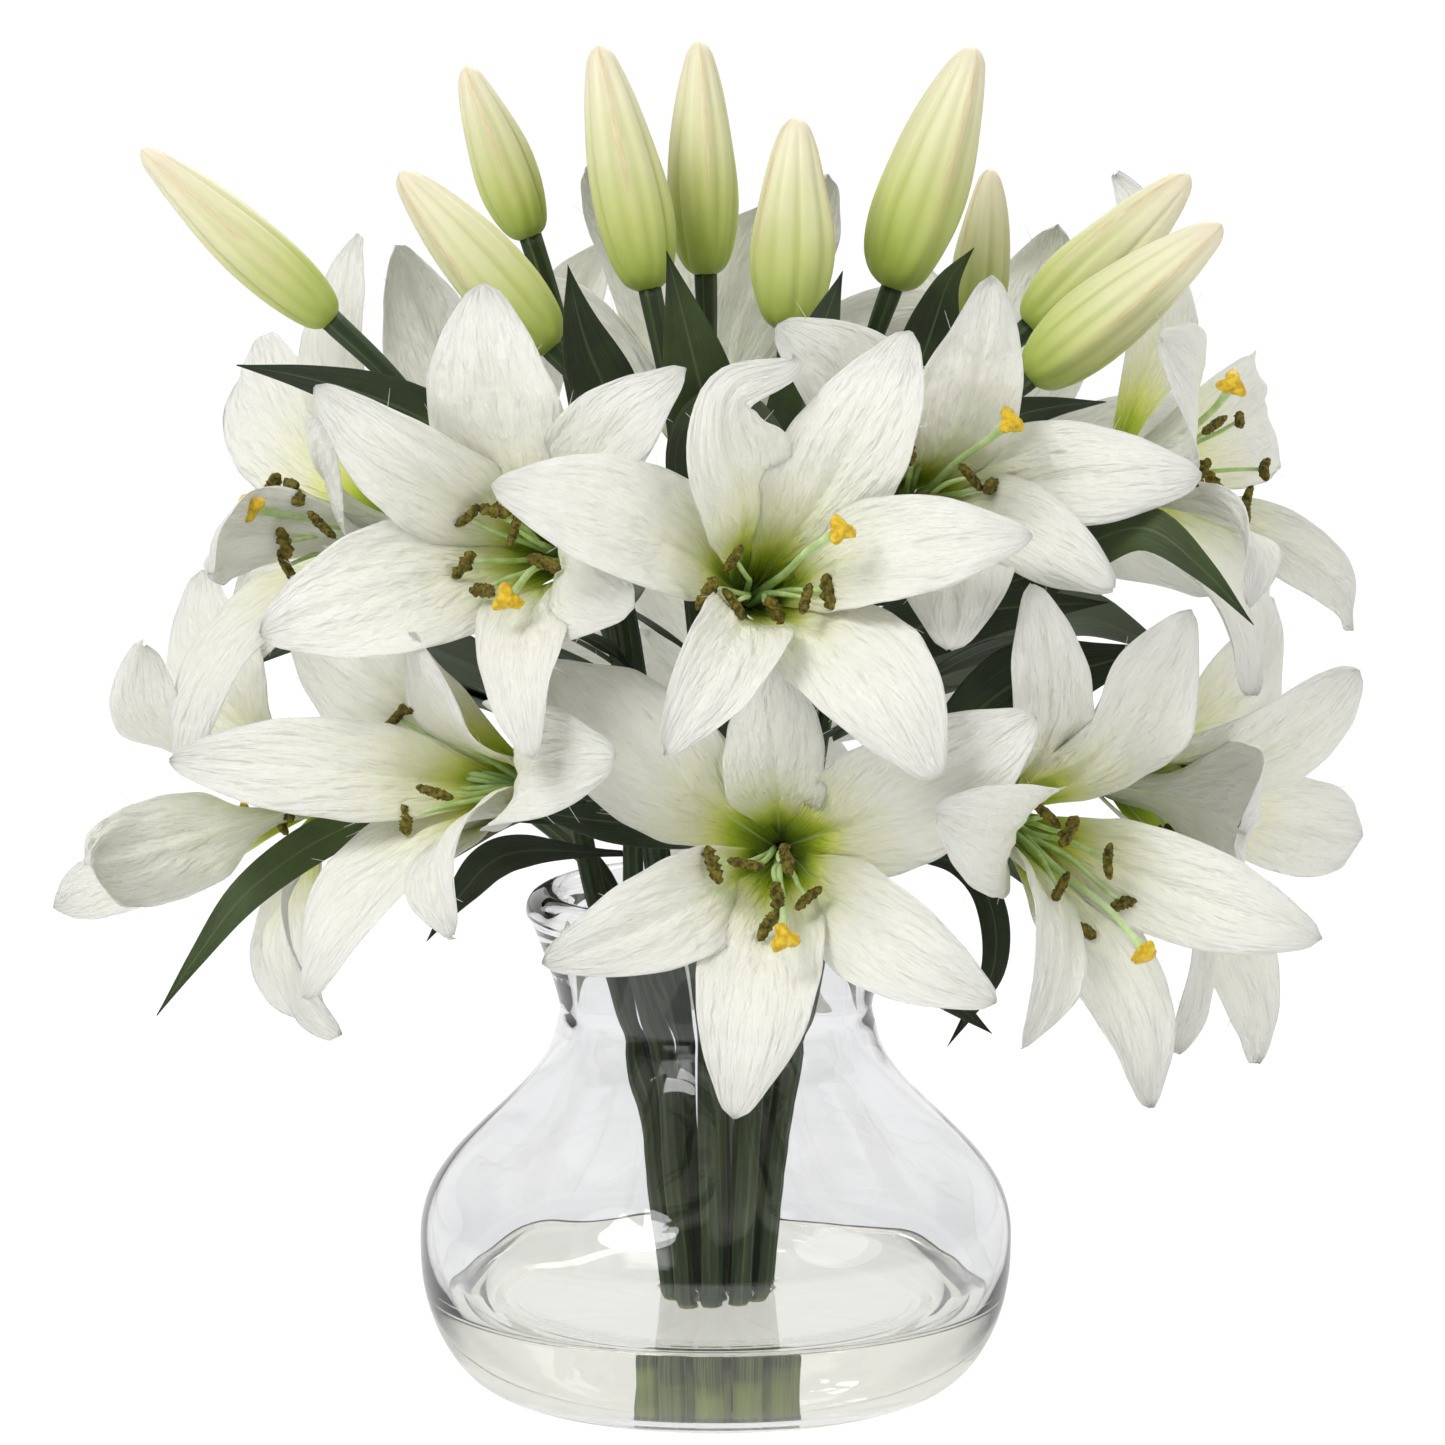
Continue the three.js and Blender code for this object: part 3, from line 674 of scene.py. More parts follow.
def bloomFacts(name):
    # hub, axis and petal lines of a bloom, with its petals in order round the axis
    places, near = welded(name)
    tips = []
    for i, friends in enumerate(near):
        if len(friends) == 4:
            rings = ringsFrom([i], near, 4)
            if len(rings) == 6:
                tips.append((i, rings))
    used = {i for i, _ in tips} | {p for _, rings in tips for ring in rings for p in ring}
    middles = [places[i] for i in range(len(places)) if i not in used]
    spread = np.mean([places[i] for i, _ in tips], axis=0)
    middles.sort(key=lambda p: np.linalg.norm(p - spread))
    top, bottom = middles[0], middles[-1]
    axis = unit(top - bottom)
    hub = bottom + (top - bottom) * 4 / 6
    left = unit(np.cross(axis, up))
    rise = np.cross(left, axis)
    petals = []
    for tip, rings in tips:
        line = np.array([places[ring].mean(0) for ring in rings[:5]][::-1] + [places[tip]])
        out = line[2] - hub
        out = unit(out - axis * out.dot(axis))
        width = np.linalg.norm(places[rings[2]][:, None] - places[rings[2]][None], axis=-1).max()
        petals.append({"line": line, "out": out, "width": width,
                       "around": math.degrees(math.atan2(out.dot(rise), out.dot(left))) % 360})
    petals.sort(key=lambda p: p["around"])
    odd = sum(p["width"] for p in petals[1::2]) > sum(p["width"] for p in petals[0::2])
    for k, petal in enumerate(petals):
        petal["inner"] = (k % 2 == 1) == odd
    return {"hub": hub, "axis": axis, "left": left, "rise": rise, "petals": petals}


def addPetal(cloth, bloom, petal, rng, manner):
    look = petalLook
    hub, axis = bloom["hub"], bloom["axis"]
    out = turnedAbout(petal["out"], axis, -manner.get("swing", 0))
    rows, columns = look["rows"], look["columns"]
    seat = hub - axis * look["seat"][0] + out * look["seat"][1]
    mouth = hub + out * look["mouth"]
    stations = turnedAbout(petal["line"][1:] - hub, axis, -manner.get("swing", 0))
    stations = turnedAbout(stations, unit(np.cross(axis, out)), manner.get("raise", 0))
    line = smoothLine(np.vstack([seat, mouth, hub + stations * manner.get("reach", 1)]), rows)
    u = np.linspace(0, 1, rows)[:, None]
    v = np.linspace(-1, 1, columns)[None, :]
    edge = np.abs(v)

    across = unit(np.cross(out, axis))
    tangent = unit(np.gradient(line, axis=0))
    inward = unit(np.cross(across, tangent))
    sway = manner.get("sway", rng.uniform(-3.5, 3.5)) * mm
    fold = manner.get("fold", rng.uniform(-1.5, 3.0)) * mm
    hook = manner.get("hook", 0) * mm
    line = line + across * (sway * u ** 2.2 + hook * eased(0.62, 1.0, u) ** 1.5)
    line = line - tangent * abs(hook) * 0.9 * eased(0.75, 1.0, u) + inward * fold * eased(0.6, 1.0, u) ** 2
    tangent = unit(np.gradient(line, axis=0))
    face = unit(inward - tangent * (inward * tangent).sum(1)[:, None])
    sideways = np.cross(tangent, face)
    sideways *= np.sign((sideways * across).sum(1).mean())
    twist = math.radians(manner.get("twist", rng.uniform(-16, 16))) * u ** 2
    sideways, face = (sideways * np.cos(twist) + face * np.sin(twist),
                      face * np.cos(twist) - sideways * np.sin(twist))

    full = look["innerHalf"] if petal["inner"] else look["outerHalf"]
    full *= manner.get("width", rng.uniform(0.95, 1.04))
    nibble = wobble(rng, 6, 20.0, 55.0)
    half = full * curveAt(look["outline"], u) * (1 - (1 - manner.get("slim", 1)) * eased(0.6, 0.8, u))
    s = v * half * (1 + 0.012 * nibble(u, np.sign(v) * 0.05) * eased(0.6, 1, edge))

    # curved about the bloom's axis in the throat, and into a shallow trough further out
    offAxis = line - hub
    offAxis = np.linalg.norm(offAxis - np.outer(offAxis @ axis, axis), axis=1)[:, None]
    bend = 1 / np.maximum(offAxis, 2.4 * mm)
    opening = eased(0.14, 0.42, u)
    cup = look["cup"] * rng.uniform(0.55, 1.25) * (1 - 1.5 * eased(0.6, 1.0, u)) * manner.get("cup", 1)
    bend = bend * (1 - opening) + cup * opening
    bend = np.where(np.abs(bend) < 0.5, 0.5, bend)
    sidePart = np.sin(bend * s) / bend
    rise = (1 - np.cos(bend * s)) / bend

    # wavy edges, a groove along the middle, and veins that run out from it
    waveLeft, waveRight = wobble(rng, 3, 5.0, 13.0), wobble(rng, 3, 5.0, 13.0)
    wave = np.where(v < 0, waveLeft(u), waveRight(u))
    rise = rise + look["edgeWave"] * wave * edge ** 3 * eased(0.18, 0.5, u) * (1 - 0.5 * eased(0.8, 1, u))
    curl = manner.get("curl", rng.uniform(-0.4, 1.0)) * look["rimCurl"]
    rise = rise - curl * edge ** 5 * eased(0.3, 0.6, u)
    body = eased(0.06, 0.25, u) * (1 - eased(0.86, 1.0, u))
    rise = rise - look["groove"] * np.exp(-(s / (1.5 * mm)) ** 2) * body
    rise = rise + 0.5 * look["groove"] * np.exp(-((np.abs(s) - 3.6 * mm) / (2.2 * mm)) ** 2) * body
    drift = wobble(rng, 5, 2.0, 7.0)
    veins = np.sin(2 * np.pi * (edge * 6.2 - u * 2.2) + 1.6 * drift(u * 2, v * 1.5))
    strength = 0.6 + 0.5 * drift(u * 1.7 + 4, v + 2)
    rise = rise + look["ripple"] * veins * strength * body * eased(0.08, 0.25, edge)
    dent = wobble(rng, 4, 2.5, 6.0)
    rise = rise + 0.6 * mm * dent(u * 2, v * 1.2) * body
    # the three wider petals stand in front of the others in the throat
    rise = rise + (0.7 if petal["inner"] else -0.7) * mm * (1 - eased(0.3, 0.6, u))

    thick = look["thickness"] * (1 - 0.65 * edge ** 6) * (1 - 0.35 * u)
    middle = line[:, None] + sideways[:, None] * sidePart[..., None]
    front = middle + face[:, None] * (rise + thick / 2)[..., None]
    back = middle + face[:, None] * (rise - thick / 2)[..., None]
    points, faces = sheetShell(front, back)
    grid = rows * columns
    tone = rng.uniform()
    cloth.add(points, faces,
              along=np.tile(np.broadcast_to(u, (rows, columns)).ravel(), 2),
              across=np.tile(np.broadcast_to(v, (rows, columns)).ravel(), 2),
              front=np.repeat([1.0, 0.0], grid),
              tone=tone)
    # a few cloth threads have come loose at the cut edge
    for _ in range(look["threads"]):
        row, edgeSide = rng.integers(rows // 3, rows - 3), rng.choice([0, columns - 1])
        root = middle[row, edgeSide] + face[row] * rise[row, edgeSide]
        away = unit(middle[row, edgeSide] - middle[row, columns // 2])
        lean = away * 0.5 + tangent[row] * rng.uniform(0.3, 1.1) + face[row] * rng.uniform(-0.4, 0.4)
        lean = unit(lean)
        t = np.linspace(0, 1, 7)[:, None]
        thread = root - away * 0.4 * mm + lean * t * rng.uniform(*look["threadLength"])
        thread = thread + np.cross(lean, away) * rng.uniform(-1.2, 1.2) * mm * t ** 2
        points, faces = tubeShell(thread, np.linspace(*look["threadRadius"], 7), 5)
        cloth.add(points, faces, along=0.9, across=0.9, front=1.0, tone=tone)


# Where the style and the six stamens of a bloom point: degrees round the bloom from its left, clockwise
# as one faces it, lean from its axis, and length in millimetres.
plainAims = {"style": (90, 8, 66), "stamens": [(20, 22, 48), (82, 18, 46), (140, 22, 50),
                                               (205, 20, 47), (262, 24, 50), (322, 18, 46)]}
stamenAims = {
    "bloom_01": {"style": (165, 9, 66), "stamens": [(342, 31, 45), (325, 25, 42), (250, 15, 46),
                                                    (285, 19, 40), (215, 20, 42), (10, 20, 40)]},
    "bloom_02": {"style": (257, 13, 66), "stamens": [(8, 22, 46), (24, 10, 48), (128, 7, 46),
                                                     (262, 8, 46), (276, 16, 48), (215, 15, 44)]},
    "bloom_03": {"style": (4, 36, 68), "stamens": [(30, 38, 46), (345, 22, 46), (228, 8, 46),
                                                   (60, 26, 48), (5, 30, 46), (300, 20, 46)]},
    "bloom_04": {"style": (245, 15, 64), "stamens": [(63, 14, 46), (30, 20, 46), (90, 8, 42),
                                                     (200, 14, 46), (300, 18, 46), (340, 20, 44)]},
    "bloom_05": {"style": (177, 18, 66), "stamens": [(153, 17, 46), (180, 28, 45), (231, 23, 46),
                                                     (120, 14, 44), (205, 20, 50), (60, 12, 44)]},
    "bloom_06": {"style": (0, 16, 24), "stamens": [(20, 12, 15), (60, 10, 16), (340, 8, 15),
                                                   (300, 10, 16), (0, 14, 14), (180, 4, 14)]},
    "bloom_07": {"style": (133, 13, 68), "stamens": [(78, 33, 47), (88, 26, 46), (36, 19, 45),
                                                     (195, 14, 46), (185, 5, 48), (310, 12, 46)]},
    "bloom_08": {"style": (45, 24, 68), "stamens": [(324, 17, 46), (350, 22, 48), (60, 14, 44),
                                                    (200, 20, 46), (260, 18, 46), (120, 14, 46)]},
    "bloom_09": {"style": (245, 21, 70), "stamens": [(51, 21, 45), (54, 13, 50), (185, 9, 48),
                                                     (308, 13, 47), (225, 24, 50), (265, 25, 50)]},
    "bloom_10": {"style": (180, 24, 34), "stamens": [(120, 28, 24), (150, 24, 25), (180, 30, 22),
                                                     (205, 26, 23), (230, 28, 24), (255, 30, 22)]},
}
stamenLook = {
    "filament": (1.0 * mm, 0.6 * mm),  # radius at the foot and at the anther
    "style": [(0, 1.9), (0.12, 1.35), (0.5, 1.05), (0.85, 1.1), (1, 1.5)],
    "loose": 0.9 * mm,
    "antherLength": (9.0 * mm, 12.0 * mm), "antherRadius": 1.55 * mm,
    "stigmaRadius": 3.5 * mm, "stigmaHeight": 2.3 * mm,
}


def aimedLine(bloom, aim, rng, count):
    # leaves the throat along the axis and bends over to its aim
    around, lean, length = aim
    around, lean, length = math.radians(around), math.radians(lean), length * mm
    side = bloom["left"] * math.cos(around) + bloom["rise"] * math.sin(around)
    start = bloom["hub"] + side * 1.6 * mm - bloom["axis"] * 2 * mm
    end = bloom["hub"] + (bloom["axis"] * math.cos(lean) + side * math.sin(lean)) * length
    middle = bloom["hub"] + bloom["axis"] * length * 0.5 + side * math.sin(lean) * length * 0.22
    t = np.linspace(0, 1, count)[:, None]
    line = start * (1 - t) ** 2 + 2 * middle * t * (1 - t) + end * t ** 2
    bendA, bendB = wobble(rng, 2, 4.0, 8.0), wobble(rng, 2, 4.0, 8.0)
    other = np.cross(bloom["axis"], side)
    loose = stamenLook["loose"] * np.sin(np.pi * t)
    return line + side * bendA(t) * loose + other * bendB(t) * loose


def addAnther(anthers, at, filament, rng):
    # a rough two-lobed bar across the end of its filament
    length = rng.uniform(*stamenLook["antherLength"])
    lie = unit(np.cross(filament, rng.normal(size=3)))
    lie = unit(lie + filament * rng.uniform(-0.5, 0.5))
    rows, count = 22, 16
    t = np.linspace(-1, 1, rows)
    line = at + filament * 0.4 * mm + np.outer(t * length / 2, lie)
    line += np.outer((t ** 2) * rng.uniform(-1.0, 2.0) * mm, filament)
    angle = np.linspace(0, 2 * np.pi, count, endpoint=False)[None, :]
    lump, grain = wobble(rng, 5, 3.0, 9.0), wobble(rng, 6, 9.0, 26.0)
    size = stamenLook["antherRadius"] * np.sqrt(np.clip(1 - np.abs(t) ** 3.2, 0.02, 1))[:, None]
    lobes = 1 + 0.22 * np.cos(2 * angle)
    rough = 0.22 * lump(t[:, None] * 2, np.cos(angle)) + 0.13 * grain(t[:, None] * 2, np.sin(angle) * 2)
    radii = size * lobes * (1 + rough)
    anthers.add(*tubeShell(line, radii, count))


def addStigma(stigmas, at, filament, rng):
    # three rounded lobes on the end of the style
    rows, count = 26, 36
    theta = np.linspace(0, np.pi, rows)
    angle = np.linspace(0, 2 * np.pi, count, endpoint=False)[None, :]
    lump = wobble(rng, 6, 2.0, 5.0)
    lobes = 1 + 0.34 * np.cos(3 * angle + rng.uniform(0, 6)) * np.sin(theta)[:, None] ** 2
    rough = 1 + 0.09 * lump(theta[:, None] * 2, np.cos(angle) * 2)
    radii = stamenLook["stigmaRadius"] * np.sin(theta)[:, None] * lobes * rough
    line = at + np.outer(-np.cos(theta) * stamenLook["stigmaHeight"] + 1.0 * mm, filament)
    frames = carriedFrames(np.array([at, at + filament]))
    frames = [np.repeat(part[:1], rows, 0) for part in frames]
    stigmas.add(*tubeShell(line, np.maximum(radii, 0.02 * mm), count, frames))


def makeBloom(name, index):
    bloom = bloomFacts(name)
    number = name[-2:]
    cloth = Gather()
    for k, petal in enumerate(bloom["petals"]):
        rng = np.random.default_rng(seeds["petal"] + index * 20 + k)
        manners = petalManners.get(name, {})
        near = [turn for turn in manners if abs((petal["around"] - turn + 180) % 360 - 180) < 22]
        addPetal(cloth, bloom, petal, rng, manners[near[0]] if near else {})
    cloth.make("petals_" + number, finishes["petal"], "petal_white", name)

    rng = np.random.default_rng(seeds["stamen"] + index)
    aims = stamenAims.get(name, plainAims)
    filaments, anthers, stigmas = Gather(), Gather(), Gather()
    for aim in aims["stamens"]:
        line = aimedLine(bloom, aim, rng, 26)
        radii = np.linspace(*stamenLook["filament"], len(line))
        filaments.add(*tubeShell(line, radii, 12))
        addAnther(anthers, line[-1], unit(line[-1] - line[-3]), rng)
    line = aimedLine(bloom, aims["style"], rng, 34)
    radii = curveAt(stamenLook["style"], np.linspace(0, 1, len(line))) * mm
    filaments.add(*tubeShell(line, radii, 14))
    addStigma(stigmas, line[-1], unit(line[-1] - line[-3]), rng)
    filaments.make("filaments_" + number, finishes["filament"], "filament_green", name)
    anthers.make("anthers_" + number, finishes["anther"], "anther_brown", name)
    stigmas.make("stigma_" + number, finishes["stigma"], "stigma_yellow", name)


for index, name in enumerate(numbered("bloom")):
    makeBloom(name, index)
print("blooms made")


budLook = {
    "rows": 64, "sides": 72,
    # radius from the foot to the tip, as a share of the widest place
    "outline": [(0.0, 0.16), (0.012, 0.36), (0.04, 0.58), (0.09, 0.75), (0.17, 0.89), (0.27, 0.98),
                (0.37, 1.0), (0.48, 0.965), (0.60, 0.875), (0.72, 0.74), (0.82, 0.60), (0.90, 0.46),
                (0.95, 0.35), (0.98, 0.22), (0.995, 0.10), (1.0, 0.02)],
    "stalkFoot": 2.1 * mm, "stalkHead": 3.3 * mm,
}


def makeBud(name, index):
    rng = np.random.default_rng(seeds["bud"] + index)
    places, tip, rings = fromTip(name, 6)
    centres = np.array([places[tip]] + [places[r].mean(0) for r in rings])[::-1]
    radius = max(np.linalg.norm(places[r] - places[r].mean(0), axis=1).mean() for r in rings)
    line = smoothLine(centres[4:], budLook["rows"])  # the rings before these are the stalk's
    u = np.linspace(0, 1, len(line))
    # rings stand closer together at the two rounded ends
    pace = 0.5 - 0.5 * np.cos(np.pi * u)
    pace = 0.45 * pace + 0.55 * u
    line = np.column_stack([np.interp(pace, u, line[:, k]) for k in range(3)])
    angle = np.linspace(0, 2 * np.pi, budLook["sides"], endpoint=False)
    turn = angle + rng.uniform(0, 2)
    ends = eased(0.0, 0.12, pace) * (1 - eased(0.86, 1.0, pace))

    def lines(offset, width, count=3):
        # a smooth line down the bud at each of count places round it
        gap = np.abs((turn - offset + np.pi / count) % (2 * np.pi / count) - np.pi / count)
        return np.exp(-(gap / width) ** 2)

    ridge, seam = lines(0, 0.14), lines(np.pi / 3, 0.10)
    beside = lines(0.33, 0.12) + lines(-0.33, 0.12)
    wander = wobble(rng, 4, 2.0, 6.0)
    shape = 0.035 * np.cos(3 * turn) + 0.05 * ridge - 0.11 * seam - 0.075 * beside
    size = radius * curveAt(budLook["outline"], pace)
    radii = size[:, None] * (1 + ends[:, None] * shape[None, :]
                             + 0.02 * wander(pace[:, None] * 2, np.cos(turn)[None, :]))
    head = Gather()
    points, faces = tubeShell(line, radii, len(angle))
    flat = np.array([0.0, 0.0])
    head.add(points, faces,
             along=tubeValues(len(angle), pace),
             rib=np.concatenate([np.tile(ridge, len(line)), flat]),
             seam=np.concatenate([np.tile(np.maximum(seam, 0.6 * beside), len(line)), flat]),
             tone=rng.uniform())
    head.make("budHead_" + name[-2:], finishes["bud"], "bud_green", name)

    stalkLine = smoothLine(np.vstack([centres[:5], line[1:2]]), 40)
    share = np.linspace(0, 1, len(stalkLine))
    size = budLook["stalkFoot"] + (budLook["stalkHead"] - budLook["stalkFoot"]) * eased(0.55, 1.0, share)
    count = 24
    angle = np.linspace(0, 2 * np.pi, count, endpoint=False)
    rib = np.cos(6 * angle + rng.uniform(0, 6))
    stalk = Gather()
    points, faces = tubeShell(stalkLine, size[:, None] * (1 + 0.05 * rib[None, :]), count)
    stalk.add(points, faces,
              along=tubeValues(count, 0.3 + 0.3 * share),
              turn=np.concatenate([np.tile(np.cos(angle), len(stalkLine)), flat]),
              rib=np.concatenate([np.tile(rib, len(stalkLine)), flat]),
              tone=rng.uniform())
    stalk.make("budStalk_" + name[-2:], finishes["stem"], "stem_green", name)


for index, name in enumerate(numbered("bud")):
    makeBud(name, index)
print("buds made")


leafLook = {
    "rows": 48, "columns": 21,
    "thickness": 0.55 * mm, "fold": 0.20, "ripple": 0.10 * mm, "edgeWave": 0.9 * mm,
    # half width along the leaf, as a share of the widest place
    "outline": [(0.0, 0.16), (0.1, 0.24), (0.25, 0.50), (0.40, 0.84), (0.52, 0.99), (0.62, 1.0),
                (0.74, 0.84), (0.85, 0.50), (0.93, 0.23), (0.98, 0.065), (1.0, 0.012)],
}

# leaves that are narrower or wider than the solid they stand for, as shares of its width
leafWidths = {"leaf_02": 0.66, "leaf_03": 0.8, "leaf_05": 0.9, "leaf_06": 0.7, "leaf_09": 1.1}

# small leaves that stand round each stem between the rim and its bloom, sizes in millimetres
sprigLook = {"perStem": 3, "aboveRim": 16 * mm, "belowBloom": 16 * mm, "length": (36, 60), "half": (6.0, 9.0)}


def bladeShell(line, across, face, full, rng):
    # one leaf blade about its middle line
    look = leafLook
    rows, columns = look["rows"], look["columns"]
    u, v = np.linspace(0, 1, rows)[:, None], np.linspace(-1, 1, columns)[None, :]
    s = v * full * curveAt(look["outline"], u)
    edge = np.abs(v)
    waveLeft, waveRight = wobble(rng, 3, 4.0, 10.0), wobble(rng, 3, 4.0, 10.0)
    wave = np.where(v < 0, waveLeft(u), waveRight(u))
    rise = look["fold"] * rng.uniform(0.5, 1.3) * (np.sqrt(s ** 2 + (1.2 * mm) ** 2) - 1.2 * mm)
    rise = rise - 0.012 / mm * s ** 2 * rng.uniform(0.2, 1.0)
    rise = rise + look["edgeWave"] * wave * edge ** 2 * eased(0.1, 0.4, u)
    rise = rise + look["ripple"] * np.sin(2 * np.pi * edge * 4.5) * eased(0.1, 0.2, edge)
    thick = look["thickness"] * (1 - 0.5 * edge ** 4) + 0.8 * mm * np.exp(-(s / (0.9 * mm)) ** 2) * (1 - u)
    middle = line[:, None] + across[:, None] * s[..., None]
    front = middle + face[:, None] * (rise + thick / 4)[..., None]
    back = middle + face[:, None] * (rise - 3 * thick / 4)[..., None]
    points, faces = sheetShell(front, back)
    values = {"along": np.tile(np.broadcast_to(u, (rows, columns)).ravel(), 2),
              "across": np.tile(np.broadcast_to(v, (rows, columns)).ravel(), 2),
              "front": np.repeat([1.0, 0.0], rows * columns), "tone": rng.uniform()}
    return points, faces, values


def makeLeaf(name, index):
    rng = np.random.default_rng(seeds["leaf"] + index)
    places, tip, rings = fromTip(name, 4)
    rings = rings[::-1]
    centres = np.array([places[r].mean(0) for r in rings] + [places[tip]])
    directions, halves = [], []
    for ring in rings:
        spread = places[ring] - places[ring].mean(0)
        main = np.linalg.svd(spread)[2][0]
        if directions and main.dot(directions[-1]) < 0:
            main = -main
        directions.append(main)
        halves.append(np.abs(spread @ main).max())
    directions.append(directions[-1])
    rows = leafLook["rows"]
    line = smoothLine(centres, rows)
    at = np.linspace(0, 1, len(centres))
    u = np.linspace(0, 1, rows)
    across = np.column_stack([np.interp(u, at, np.array(directions)[:, k]) for k in range(3)])
    tangent = unit(np.gradient(line, axis=0))
    across = unit(across - tangent * (across * tangent).sum(1)[:, None])
    face = np.cross(across, tangent)
    outwards = np.array([0, np.sign(line[rows // 2, 1]), 0.3])
    if (face @ outwards).mean() < 0:
        across, face = -across, -face
    full = max(halves) * leafWidths.get(name, 1)
    points, faces, values = bladeShell(line, across, face, full, rng)
    leaf = Gather()
    leaf.add(points, faces, **values)
    leaf.make("leafBlade_" + name[-2:], finishes["leaf"], "leaf_green", name)


def makeSprigs():
    for index, (name, line) in enumerate(stemLines.items()):
        rng = np.random.default_rng(seeds["sprig"] + index)
        low, high = vaseRings[topRing, 1] + sprigLook["aboveRim"], line[-1, 2] - sprigLook["belowBloom"]
        free = np.where((line[:-1, 2] > low) & (line[:-1, 2] < high))[0]
        if len(free) < 6:
            continue
        sprig = Gather()
        for k in range(sprigLook["perStem"]):
            row = rng.choice(free)
            grow = unit(line[row + 1] - line[row])
            away = unit(np.cross(grow, unit(rng.normal(size=3))))
            length = rng.uniform(*sprigLook["length"]) * mm
            t = np.linspace(0, 1, leafLook["rows"])[:, None]
            lean = grow * 0.75 + away * 0.65
            droop = (away - grow * 0.5) * length * 0.3 * t ** 2
            blade = line[row] + away * 2.6 * mm + lean * t * length + droop
            tangent = unit(np.gradient(blade, axis=0))
            across = unit(np.cross(grow, away))[None, :]
            across = unit(across - tangent * (across * tangent).sum(1)[:, None])
            face = np.cross(across, tangent)
            full = rng.uniform(*sprigLook["half"]) * mm
            points, faces, values = bladeShell(blade, across, face, full, rng)
            sprig.add(points, faces, **values)
        sprig.make("sprig_" + name[-2:], finishes["leaf"], "leaf_green", name)


for index, name in enumerate(numbered("leaf")):
    makeLeaf(name, index)
makeSprigs()
print("leaves made")


studio = {
    "floorRadius": 14.0, "floorColours": ((0.93, 0.93, 0.93), (0.90, 0.90, 0.90)),
    "floorGlow": 0.90, "cameraGlow": 0.24, "glowShare": 0.82, "floorDull": 0.8,
    "ambient": 0.46, "shade": 0.42, "back": 0.93, "front": 0.10, "window": 2.4,
    "cameraDistance": 2.4, "cameraLift": 9.5, "lens": 204.0, "target": (0.0019, 0.0, 0.1983),
    # place, size and power of each lamp
    "lamps": {"keyLamp": ((-1.0, -1.3, 1.7), 1.1, 26), "fillLamp": ((1.5, -1.2, 1.0), 1.3, 8),
              "backLamp": ((0.4, 1.4, 1.6), 1.3, 14)},
    "lampAim": (0, 0, 0.22),
}


def makeFloor():
    # pale paper that glows, except where its light would fall on the object or shine back off it
    f = Finish("studioFloor")
    grain = f.noise(f.place(), 3.0, 2.0)
    colour = f.blend(grain * 0.02, *studio["floorColours"])
    paper = f.shader({"Base Color": colour, "Roughness": 0.9, "Specular IOR Level": 0.1})
    direct = f.node("LightPath", output="Is Camera Ray")
    bright = direct * studio["cameraGlow"] + studio["floorGlow"]
    glow = f.node("Emission", None, {"Color": bright, "Strength": 1.0})
    seen = 1 - f.node("LightPath", output="Is Diffuse Ray")
    mirrored = f.node("LightPath", output="Is Reflection Ray")
    share = seen * (1 - mirrored * studio["floorDull"]) * studio["glowShare"]
    material = f.done(f.node("MixShader", None, {0: share, 1: paper, 2: glow}))
    mesh = bpy.data.meshes.new("studioFloor")
    work = bmesh.new()
    bmesh.ops.create_circle(work, cap_ends=True, radius=studio["floorRadius"], segments=96)
    work.to_mesh(mesh)
    work.free()
    mesh.materials.append(material)
    floor = bpy.data.objects.new("studioFloor", mesh)
    floor.location = (0, 0, cadBox[0][2])
    bpy.context.scene.collection.objects.link(floor)


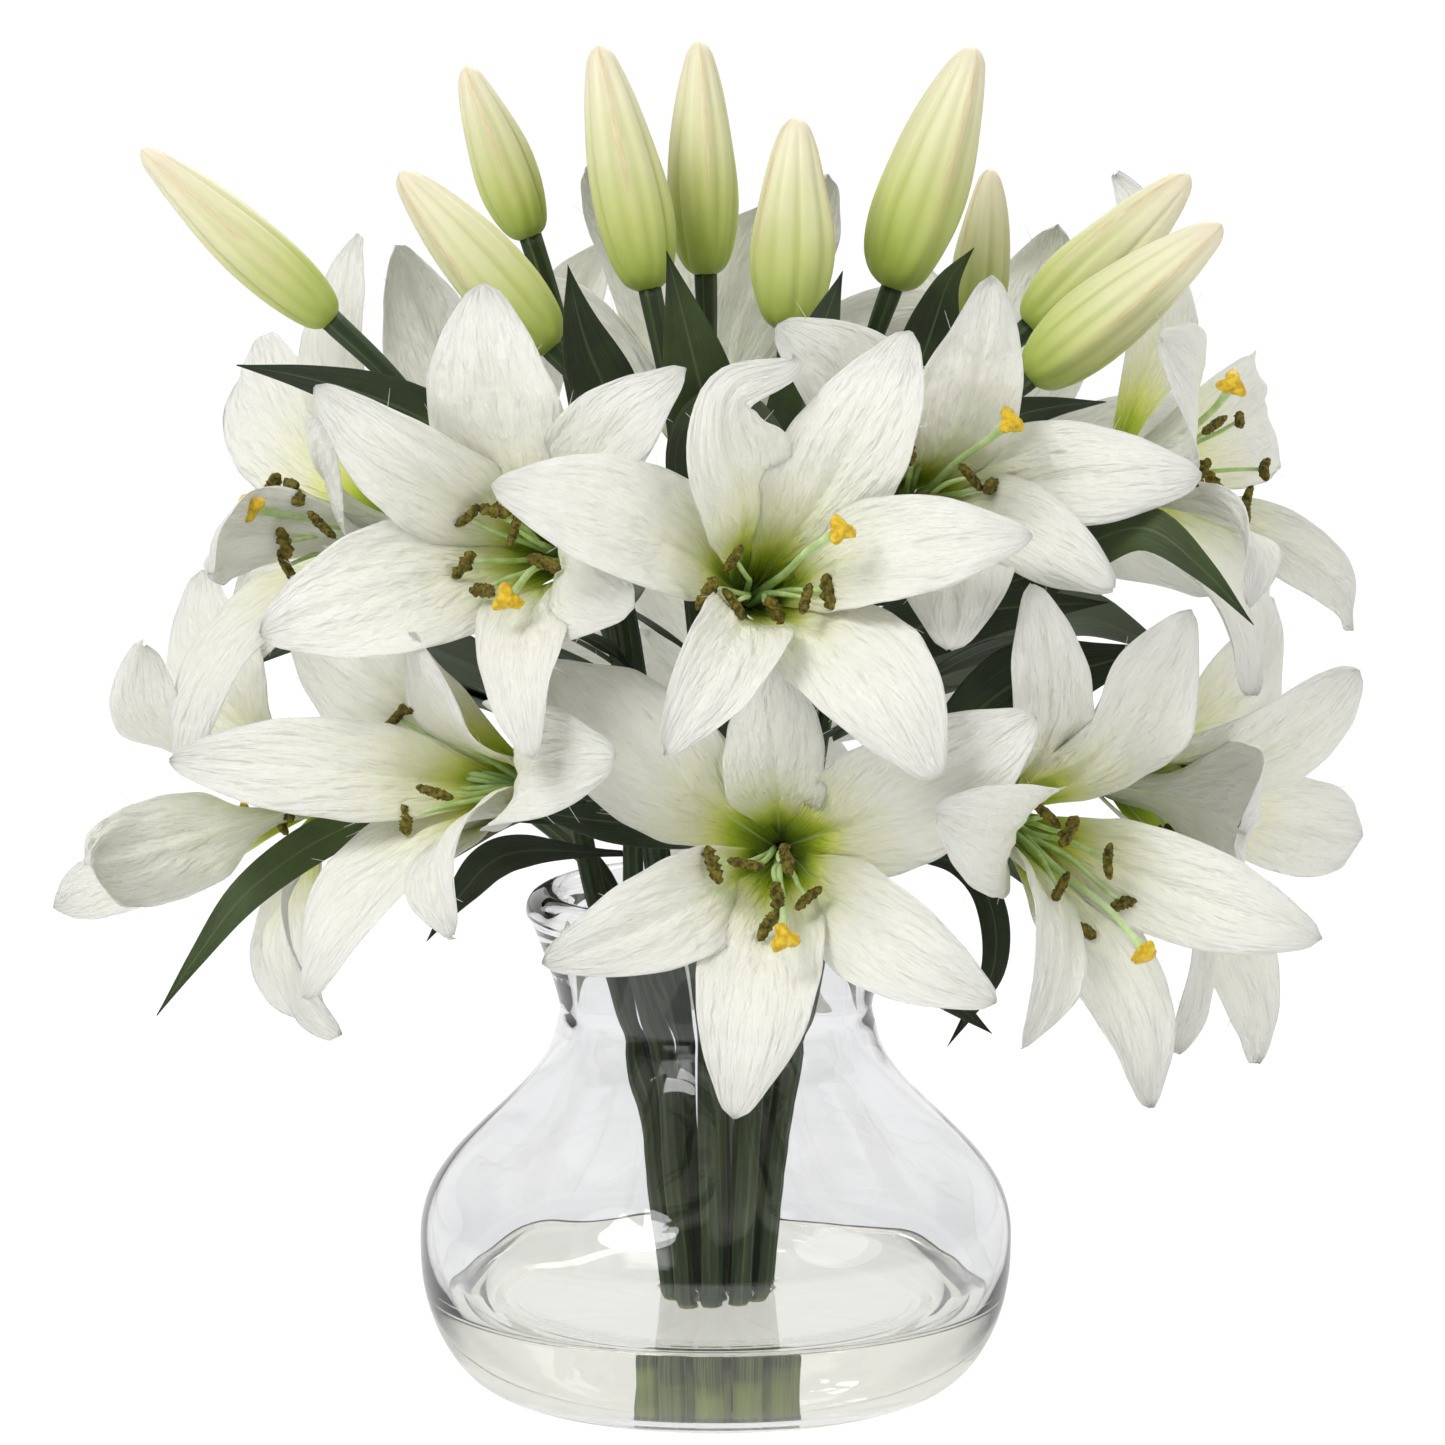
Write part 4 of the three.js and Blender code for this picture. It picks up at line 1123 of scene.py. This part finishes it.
def makeWorld():
    # white to the camera; to glass and plastic, a bright back, grey sides and a dark front with one window
    world = bpy.data.worlds.new("studioRoom")
    bpy.context.scene.world = world
    f = Finish("studioRoom", world)
    direction = f.node("TexCoord", output="Generated")
    x, y, z = [f.node("SeparateXYZ", None, {"Vector": direction}, axis) for axis in range(3)]
    sides = f.between(abs(x), 0.70, 0.92)
    behind = f.between(y, -0.35, 0.25)
    windows = f.between(abs(x + 0.42), 0.16, 0.11) * f.between(abs(z - 0.42), 0.20, 0.15) * (1 - behind)
    seen = (1 - sides * (1 - studio["shade"])) * behind * studio["back"]
    seen = seen + studio["front"] * (1 - behind) + windows * studio["window"]
    soft = studio["ambient"] * (0.86 + z * 0.2)
    diffuse = f.node("LightPath", output="Is Diffuse Ray")
    bright = seen * (1 - diffuse) + soft * diffuse
    room = f.node("Background", None, {"Color": bright, "Strength": 1.0})
    white = f.node("Background", None, {"Color": (1, 1, 1, 1), "Strength": 1.0})
    path = f.node("LightPath", output="Is Camera Ray")
    f.done(f.node("MixShader", None, {0: path, 1: room, 2: white}), "OutputWorld")


def makeLamp(name, place, size, power):
    lamp = bpy.data.lights.new(name, "AREA")
    lamp.shape, lamp.size, lamp.energy = "DISK", size, power
    body = bpy.data.objects.new(name, lamp)
    body.location = place
    direction = np.array(studio["lampAim"]) - np.array(place)
    body.rotation_euler = (math.atan2(math.hypot(*direction[:2]), -direction[2]), 0,
                           math.atan2(-direction[0], direction[1]))
    bpy.context.scene.collection.objects.link(body)


def makeCamera():
    data = bpy.data.cameras.new("studioCamera")
    data.lens, data.sensor_width = studio["lens"], 36.0
    data.clip_end = 100
    camera = bpy.data.objects.new("studioCamera", data)
    lift, distance = math.radians(studio["cameraLift"]), studio["cameraDistance"]
    x, y, z = studio["target"]
    camera.location = (x, y - distance * math.cos(lift), z + distance * math.sin(lift))
    camera.rotation_euler = (math.pi / 2 - lift, 0, 0)
    bpy.context.scene.collection.objects.link(camera)
    bpy.context.scene.camera = camera


makeFloor()
makeWorld()
for name, (place, size, power) in studio["lamps"].items():
    makeLamp(name, place, size, power)
makeCamera()
bpy.context.scene.view_settings.view_transform = "Standard"
print("studio made")
